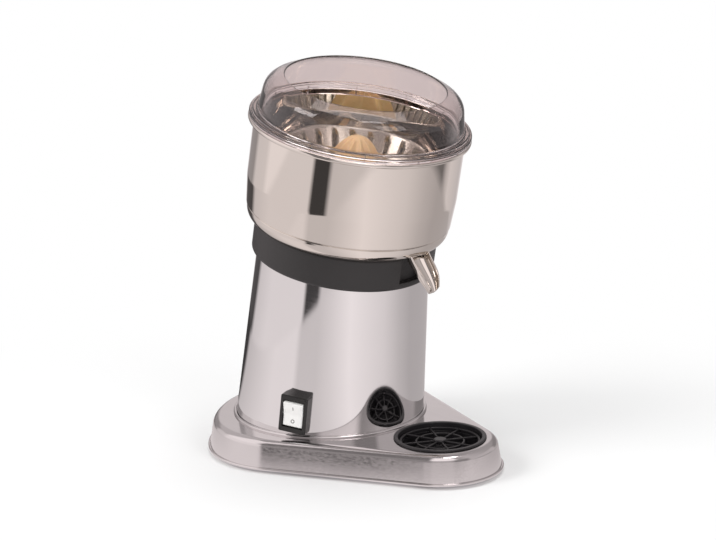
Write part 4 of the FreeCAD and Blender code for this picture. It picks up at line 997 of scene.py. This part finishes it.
class PRESS_OT_tray(bpy.types.Operator):
    """Makes the drip cup and the round grille that lies in it"""
    bl_idname = "press.tray"
    bl_label = "Drip tray"

    def execute(self, context):
        s = context.scene.press_tray
        here = (TRAY_CENTRE, 0, 0)
        low = DECK + 0.2 * MM
        top = low + s.rim_height
        grille_top = DECK - s.drop
        ledge = grille_top - s.thickness - 0.2 * MM
        inner = s.cup - s.wall
        narrow = inner - s.ledge
        cup = rounded([(0, s.floor), (s.cup - 3 * MM, s.floor, 3 * MM), (s.cup, low, 0.4 * MM),
                       (s.rim, low, 0.4 * MM), (s.rim, top, 1.8 * MM), (inner + 0.6 * MM, top, 0.8 * MM),
                       (inner, ledge, 0.3 * MM), (narrow, ledge, 0.5 * MM),
                       (narrow - 1 * MM, s.floor + s.wall, 3 * MM), (0, s.floor + s.wall)], closed=False)
        mesh = mesh_from("drip_well", [quads(placed(revolve(cup, 192), origin=here))])
        piece(context, "drip_well", mesh, "Black ABS", "cup_unit", "tray_black", "drip_cup")

        radius = inner - 0.5 * MM
        bottom = grille_top - s.thickness
        ring = rounded([(radius - s.ring, bottom), (radius, bottom, 0.6 * MM), (radius, grille_top, 0.8 * MM),
                        (radius - s.ring, grille_top, 0.8 * MM)])
        hub_top = grille_top + 0.8 * MM
        hub = rounded([(0, bottom), (s.hub, bottom), (s.hub, hub_top, 1.2 * MM), (0, hub_top)], closed=False)
        near = (radius + s.hub - s.bar) / 2
        far = near + s.bar
        middle_top = grille_top - 0.8 * MM
        middle = rounded([(near, bottom), (far, bottom), (far, middle_top, 0.6 * MM),
                          (near, middle_top, 0.6 * MM)])
        parts = [quads(placed(revolve(ring, 192), origin=here), wrap_rows=True),
                 quads(placed(revolve(hub, 96), origin=here)),
                 quads(placed(revolve(middle, 160), origin=here), wrap_rows=True)]
        start = s.hub - 2 * MM
        reach = radius - 1 * MM - start
        points, normals = rectangle(reach, s.bar, 1.0 * MM, 4)
        slim = pillow(bottom + 0.05 * MM, grille_top - 0.05 * MM, 0.8 * MM)
        bar = placed(sweep(points, normals, slim, True, True), origin=(start + reach / 2, 0, 0))
        for i in range(s.bars):
            parts.append(quads(placed(bar, about_z(math.radians(11) + i * TURN / s.bars), here)))
        mesh = mesh_from("drip_grid", parts)
        piece(context, "drip_grid", mesh, "Black ABS", "grille_unit", "tray_black", "drip_grille")
        return {"FINISHED"}


# Switch

def switch_frame():
    """Axes of the switch as rows (across, up, out) and its pivot, both from the rocker's joint.

    Across is the joint's direction turned round, up is upright less its share along across, and out is
    square to both.
    """
    across = -np.array(rock["axis"])
    across = across / np.linalg.norm(across)
    up = UPRIGHT - across * across[2]
    up = up / np.linalg.norm(up)
    return np.array([across, up, np.cross(across, up)]), np.array(rock["pos_m"])


class PRESS_OT_switch(bpy.types.Operator):
    """Makes the switch's surround, its white rocker and the two marks on it"""
    bl_idname = "press.switch"
    bl_label = "Switch"

    def execute(self, context):
        s = context.scene.press_switch
        axes, pivot = switch_frame()
        depth = s.stand_out - s.pivot_drop
        column_point = pivot - axes[2] * depth
        wide = s.width - 2 * s.border
        tall = s.tall - 2 * s.end_border
        well_wide = wide - 1.6 * MM
        well_tall = tall - 1.6 * MM
        points, normals = rectangle(s.width, s.tall, 1.5 * MM, 10)
        well, well_normals = rectangle(well_wide, well_tall, 0.6 * MM, 10)
        seat = -2 * MM
        edge = rounded([(0, seat), (0, s.stand_out, 1 * MM), (2 * MM, s.stand_out)], closed=False, steps=8)
        outer = sweep(points, normals, edge, cap_low=True)
        edge = rounded([(-0.3 * MM, s.stand_out), (0, s.stand_out, 0.3 * MM), (0, s.stand_out - s.recess)],
                       closed=False, steps=6)
        lining = sweep(well, well_normals, edge, cap_high=True)
        face = np.stack([outer[-1], lining[0]])
        box, box_normals = rectangle(wide, tall, 1 * MM, 10)
        rear = sweep(box, box_normals, pillow(-s.inset, seat, 0.4 * MM), True, True)
        tab, tab_normals = rectangle(5 * MM, 1 * MM, 0.3 * MM, 4)
        blade = pillow(-s.inset - 8 * MM, -s.inset + 0.5 * MM, 0.2 * MM)
        tab_grid = sweep(tab, tab_normals, blade, True, True)
        parts = [quads(g) for g in (outer, face, lining, rear)]
        parts += [quads(placed(tab_grid, origin=(0, y, 0))) for y in (-8 * MM, 0.0, 8 * MM)]
        parts = [(placed(p, axes, column_point), f) for p, f in parts]
        mesh = mesh_from("switch_surround", parts)
        piece(context, "switch_surround", mesh, "Black switch nylon", "root", "switch_black",
              "switch_housing")

        tip = math.radians(9)
        half_wide = well_wide / 2 - 0.5 * MM
        half_tall = well_tall / 2 - 1.1 * MM
        crest = 3.2 * MM
        valley = crest - half_tall * math.tan(tip)
        side = rounded([(-half_tall, -1.5 * MM, 0.8 * MM), (0, -3.4 * MM, 5 * MM),
                        (half_tall, -1.5 * MM, 0.8 * MM), (half_tall, crest, 0.8 * MM), (0, valley, 8 * MM),
                        (-half_tall, crest, 0.8 * MM)], steps=9)
        rocker = sweep(side, outline_normals(side), pillow(-half_wide, half_wide, 0.5 * MM), True, True)
        to_side = np.array([[0, 1, 0], [0, 0, 1], [1, 0, 0]])
        tilt = about_x(tip)
        solid = placed(placed(rocker, to_side), tilt)
        pin = np.array([(0, -1), (1.3, -1), (1.3, 1), (0, 1)]) * [MM, well_wide / 2 + 1.4 * MM]
        pin_grid = placed(revolve(pin, 32), to_side)
        parts = [quads(placed(g, axes, pivot)) for g in (solid, pin_grid)]
        mesh = mesh_from("rocker_cap", parts)
        piece(context, "rocker_cap", mesh, "White rocker polycarbonate", "rocker_unit", "switch_black",
              "switch_rocker")

        slope = math.atan2(crest - valley, half_tall)
        marks = []
        bar, bar_normals = rectangle(0.75 * MM, 3.4 * MM, 0.3 * MM, 4)
        bar_grid = sweep(bar, bar_normals, pillow(-0.1 * MM, 0.04 * MM, 0.02 * MM), True, True)
        ring = revolve(rounded(np.array([(1.15, -0.1, 0.02), (1.8, -0.1, 0.02), (1.8, 0.04, 0.02),
                                         (1.15, 0.04, 0.02)]) * MM), 48)
        for grid, side_of, wrap in ((bar_grid, 1, False), (ring, -1, True)):
            middle = (0, side_of * half_tall * 0.55, valley + 0.55 * (crest - valley))
            mark = placed(placed(grid, about_x(slope * side_of), middle), tilt)
            marks.append(quads(placed(mark, axes, pivot), wrap_rows=wrap))
        piece(context, "rocker_marks", mesh_from("rocker_marks", marks), "Pad-printed ink", "rocker_unit",
              "switch_black")
        return {"FINISHED"}


class PRESS_OT_inner(bpy.types.Operator):
    """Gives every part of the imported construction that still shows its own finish"""
    bl_idname = "press.inner"
    bl_label = "Inner parts"

    def execute(self, context):
        for material, names in NODE_FINISHES.items():
            for name in names:
                materials = frame["nodes"][name].data.materials
                materials.clear()
                materials.append(made_of(context, material))
        return {"FINISHED"}


# Studio

# Faintly warm cloth
TENT_TINT = (1.0, 0.92, 0.925)
# Tones that polished metal sees round the press: pairs of angle in degrees (0 faces the camera, positive
# to its right) and brightness, for the floor near the press and further out, the tent's wall and slope,
# the bright card under its top and the top
TENT = {
    "near": [(-180, 0.85), (-166, 0.5), (-158, 0.05), (-140, 0.05), (-132, 0.6), (-105, 0.75), (-80, 0.9),
             (-54, 0.9), (-48, 0.7), (-28, 0.7), (-14, 0.8), (10, 1.0), (55, 0.8), (80, 0.6), (100, 0.5),
             (155, 0.5), (170, 0.8)],
    "far": [(-180, 1.0), (-165, 0.6), (-158, 0.1), (-136, 0.08), (-128, 0.7), (-100, 0.85), (-50, 0.85),
            (-46, 0.06), (-32, 0.06), (-27, 0.7), (-8, 0.75), (20, 0.75), (56, 0.65), (64, 0.2), (104, 0.2),
            (112, 0.6), (120, 0.8), (150, 0.6), (165, 0.8)],
    "wall": [(-180, 0.75), (-166, 0.7), (-159, 0.35), (-138, 0.35), (-130, 0.75), (-112, 0.8), (-105, 1.0),
             (-50, 1.0), (-47, 0.33), (-20, 0.33), (-12, 0.55), (22, 0.55), (28, 0.3), (52, 0.3),
             (58, 0.6), (122, 0.6), (130, 0.3), (160, 0.3), (168, 0.75)],
    "high": [(-180, 0.6), (-116, 0.6), (-110, 1.1), (-58, 1.1), (-50, 0.2), (-22, 0.25), (-14, 1.2),
             (28, 1.2), (36, 0.4), (60, 0.6), (110, 0.45), (160, 0.4)],
    "card": [(-180, 0.4), (14, 0.4), (18, 6.0), (58, 6.0), (62, 0.4)],
    "top": [(-180, 0.35), (0, 0.35)],
}
# The tent's rings from the floor up: radius and height in metres, and whose tones a ring has
TENT_ROWS = [(0.02, 0.0, "near"), (0.56, 0.0, "near"), (0.6, 0.0, "far"), (1.3, 0.0, "far"),
             (1.31, 0.02, "wall"), (1.32, 0.5, "wall"), (1.3, 0.62, "high"), (1.0, 1.9, "high"),
             (0.97, 1.93, "card"), (0.72, 2.18, "card"), (0.68, 2.22, "top"), (0.0, 2.4, "top")]


def facing(back, place, roll=0.0):
    """Matrix of a camera or lamp at a place whose back points along a direction, rolled about it."""
    back = back / np.linalg.norm(back)
    level = np.cross(UPRIGHT, back)
    level = level / np.linalg.norm(level)
    over = np.cross(back, level)
    right = level * math.cos(roll) + over * math.sin(roll)
    up = over * math.cos(roll) - level * math.sin(roll)
    return Matrix([[*row, at] for row, at in zip(np.stack([right, up, back]).T, place)] + [[0, 0, 0, 1]])


def lamp(name, place, target, size, power):
    """Soft area lamp that shines from a place towards a target."""
    light = bpy.data.lights.new(name, "AREA")
    light.shape = "RECTANGLE"
    light.size, light.size_y = size
    light.energy = power
    made = linked(name, light)
    made.matrix_world = facing(np.array(place) - np.array(target), place)
    made.visible_camera = False
    made.visible_glossy = False


# Name, place, target, size in metres and power in watts
LAMPS = [("key_lamp", (-0.9, -1.9, 1.6), (0, 0, 0.15), (1.1, 1.1), 26),
         ("fill_lamp", (2.1, -0.4, 1.1), (0, 0, 0.15), (1.2, 1.2), 13),
         ("top_lamp", (0.0, 0.3, 2.2), (0, 0, 0.1), (1.5, 1.5), 18)]


def paper_floor(colours):
    """Adds the floor. Rays that came through the clear dome see the colour behind it further out."""
    mesh = bpy.data.meshes.new("floor")
    mesh.from_pydata([(-6, -6, 0), (6, -6, 0), (6, 6, 0), (-6, 6, 0)], [], [(0, 1, 2, 3)])
    linked("floor", mesh)
    # White paper: matt near the press, where its shadow falls, and plain white further out
    paper = bare_material("White paper")
    tree = paper.node_tree
    ray = add(tree, "ShaderNodeLightPath").outputs
    place = add(tree, "ShaderNodeTexCoord").outputs["Object"]
    far = add(tree, "ShaderNodeVectorMath", {0: place}, operation="LENGTH").outputs["Value"]
    plain = add(tree, "ShaderNodeMapRange", {"Value": far, "From Min": 0.2, "From Max": 0.5},
                interpolation_type="SMOOTHSTEP").outputs[0]
    surface = add(tree, "ShaderNodeBsdfDiffuse", {"Color": tuple(colours.floor)}).outputs[0]
    seen = {"Is Camera Ray": (1, 1, 1, 1), "Is Transmission Ray": tuple(colours.behind)}
    for kind, colour in seen.items():
        light = add(tree, "ShaderNodeEmission", {"Color": colour, "Strength": 1.0}).outputs[0]
        share = add(tree, "ShaderNodeMath", {0: ray[kind], 1: plain}, operation="MULTIPLY").outputs[0]
        surface = add(tree, "ShaderNodeMixShader", {0: share, 1: surface, 2: light}).outputs[0]
    add(tree, "ShaderNodeOutputMaterial", {"Surface": surface})
    mesh.materials.append(paper)


def tent_round(azimuth):
    """Adds the tent that only polished surfaces see. Each ring is (r cos a, r sin a, height)."""
    lift = 0.4 * MM
    angle = np.radians(np.arange(360.0))
    turned = angle - (math.pi / 2 - azimuth)
    degrees = np.degrees((angle + math.pi) % TURN - math.pi)
    tones = [np.interp(degrees, *np.array(TENT[key]).T, period=360) for _, _, key in TENT_ROWS]
    rings = [np.stack([r * np.cos(turned), r * np.sin(turned), high + lift + 0 * turned], axis=-1)
             for r, high, _ in TENT_ROWS]
    points, faces = quads(np.stack(rings))
    mesh = bpy.data.meshes.new("tent")
    mesh.from_pydata(points.tolist(), [], faces.tolist())
    tone = mesh.attributes.new("tone", "FLOAT", "POINT")
    tone.data.foreach_set("value", np.concatenate(tones).astype(np.float32))
    tent = linked("tent", mesh)
    for ray in ("camera", "diffuse", "transmission", "volume_scatter", "shadow"):
        setattr(tent, f"visible_{ray}", False)
    # Tent cloth: glows in the tone of its place
    cloth = bare_material("Tent cloth")
    tree = cloth.node_tree
    level = add(tree, "ShaderNodeAttribute", attribute_name="tone").outputs["Fac"]
    glow = add(tree, "ShaderNodeEmission", {"Color": (*TENT_TINT, 1.0), "Strength": level}).outputs[0]
    add(tree, "ShaderNodeOutputMaterial", {"Surface": glow})
    mesh.materials.append(cloth)


def white_world(behind):
    """World that is white for the camera, dimmer as light, and the colour behind the dome through it."""
    world = bpy.data.worlds.new("Studio")
    world.use_nodes = True
    tree = world.node_tree
    tree.nodes.clear()
    ray = add(tree, "ShaderNodeLightPath").outputs
    through = ray["Is Transmission Ray"]
    seen = add(tree, "ShaderNodeMapRange",
               {"Value": ray["Is Camera Ray"], "To Min": 0.55, "To Max": 1.0}).outputs[0]
    shade = add(tree, "ShaderNodeMix", {0: through, 6: (1, 1, 1, 1), 7: behind}, data_type="RGBA").outputs[2]
    full = add(tree, "ShaderNodeMath", {0: seen, 1: through}, operation="MAXIMUM").outputs[0]
    light = add(tree, "ShaderNodeBackground", {"Color": shade, "Strength": full}).outputs[0]
    add(tree, "ShaderNodeOutputWorld", {"Surface": light})
    return world


def photo_camera(s):
    """Camera at its distance from the target, in the direction of its two angles."""
    data = bpy.data.cameras.new("camera")
    data.lens = s.lens
    data.sensor_width = 36
    data.clip_start = 0.05
    level = math.cos(s.elevation)
    back = np.array([math.sin(s.azimuth) * level, -math.cos(s.azimuth) * level, math.sin(s.elevation)])
    camera = linked("camera", data)
    camera.matrix_world = facing(back, np.array(s.target) + back * s.distance, s.roll)
    return camera


class PRESS_OT_studio(bpy.types.Operator):
    """Makes the white floor, soft lamps, the tent that metal reflects, world and camera"""
    bl_idname = "press.studio"
    bl_label = "Studio"

    def execute(self, context):
        scene = context.scene
        paper_floor(scene.press_finish)
        tent_round(scene.press_studio.azimuth)
        for row in LAMPS:
            lamp(*row)
        scene.world = white_world(tuple(scene.press_finish.behind))
        scene.view_settings.view_transform = "Standard"
        scene.camera = photo_camera(scene.press_studio)
        return {"FINISHED"}


OPERATORS = (PRESS_OT_studio, PRESS_OT_base, PRESS_OT_column, PRESS_OT_collar, PRESS_OT_bowl, PRESS_OT_spout,
             PRESS_OT_strainer, PRESS_OT_reamer, PRESS_OT_dome, PRESS_OT_tray, PRESS_OT_switch,
             PRESS_OT_inner)


class PRESS_PT_panel(bpy.types.Panel):
    """Lists the operators and the sizes of the press"""
    bl_label = "Citrus press"
    bl_idname = "PRESS_PT_panel"
    bl_space_type = "VIEW_3D"
    bl_region_type = "UI"
    bl_category = "Citrus press"

    def draw(self, context):
        for operator in OPERATORS:
            self.layout.operator(operator.bl_idname)
        for group, kind in GROUPS.items():
            box = self.layout.box()
            for name in kind.__annotations__:
                box.prop(getattr(context.scene, group), name)


def register():
    for kind in (*GROUPS.values(), *OPERATORS, PRESS_PT_panel):
        bpy.utils.register_class(kind)
    for name, kind in GROUPS.items():
        setattr(bpy.types.Scene, name, PointerProperty(type=kind))


def unregister():
    for name in GROUPS:
        delattr(bpy.types.Scene, name)
    for kind in (PRESS_PT_panel, *OPERATORS[::-1], *list(GROUPS.values())[::-1]):
        bpy.utils.unregister_class(kind)


def main():
    register()
    for operator in OPERATORS:
        getattr(bpy.ops.press, operator.bl_idname.split(".")[1])()


if __name__ == "__main__":
    main()
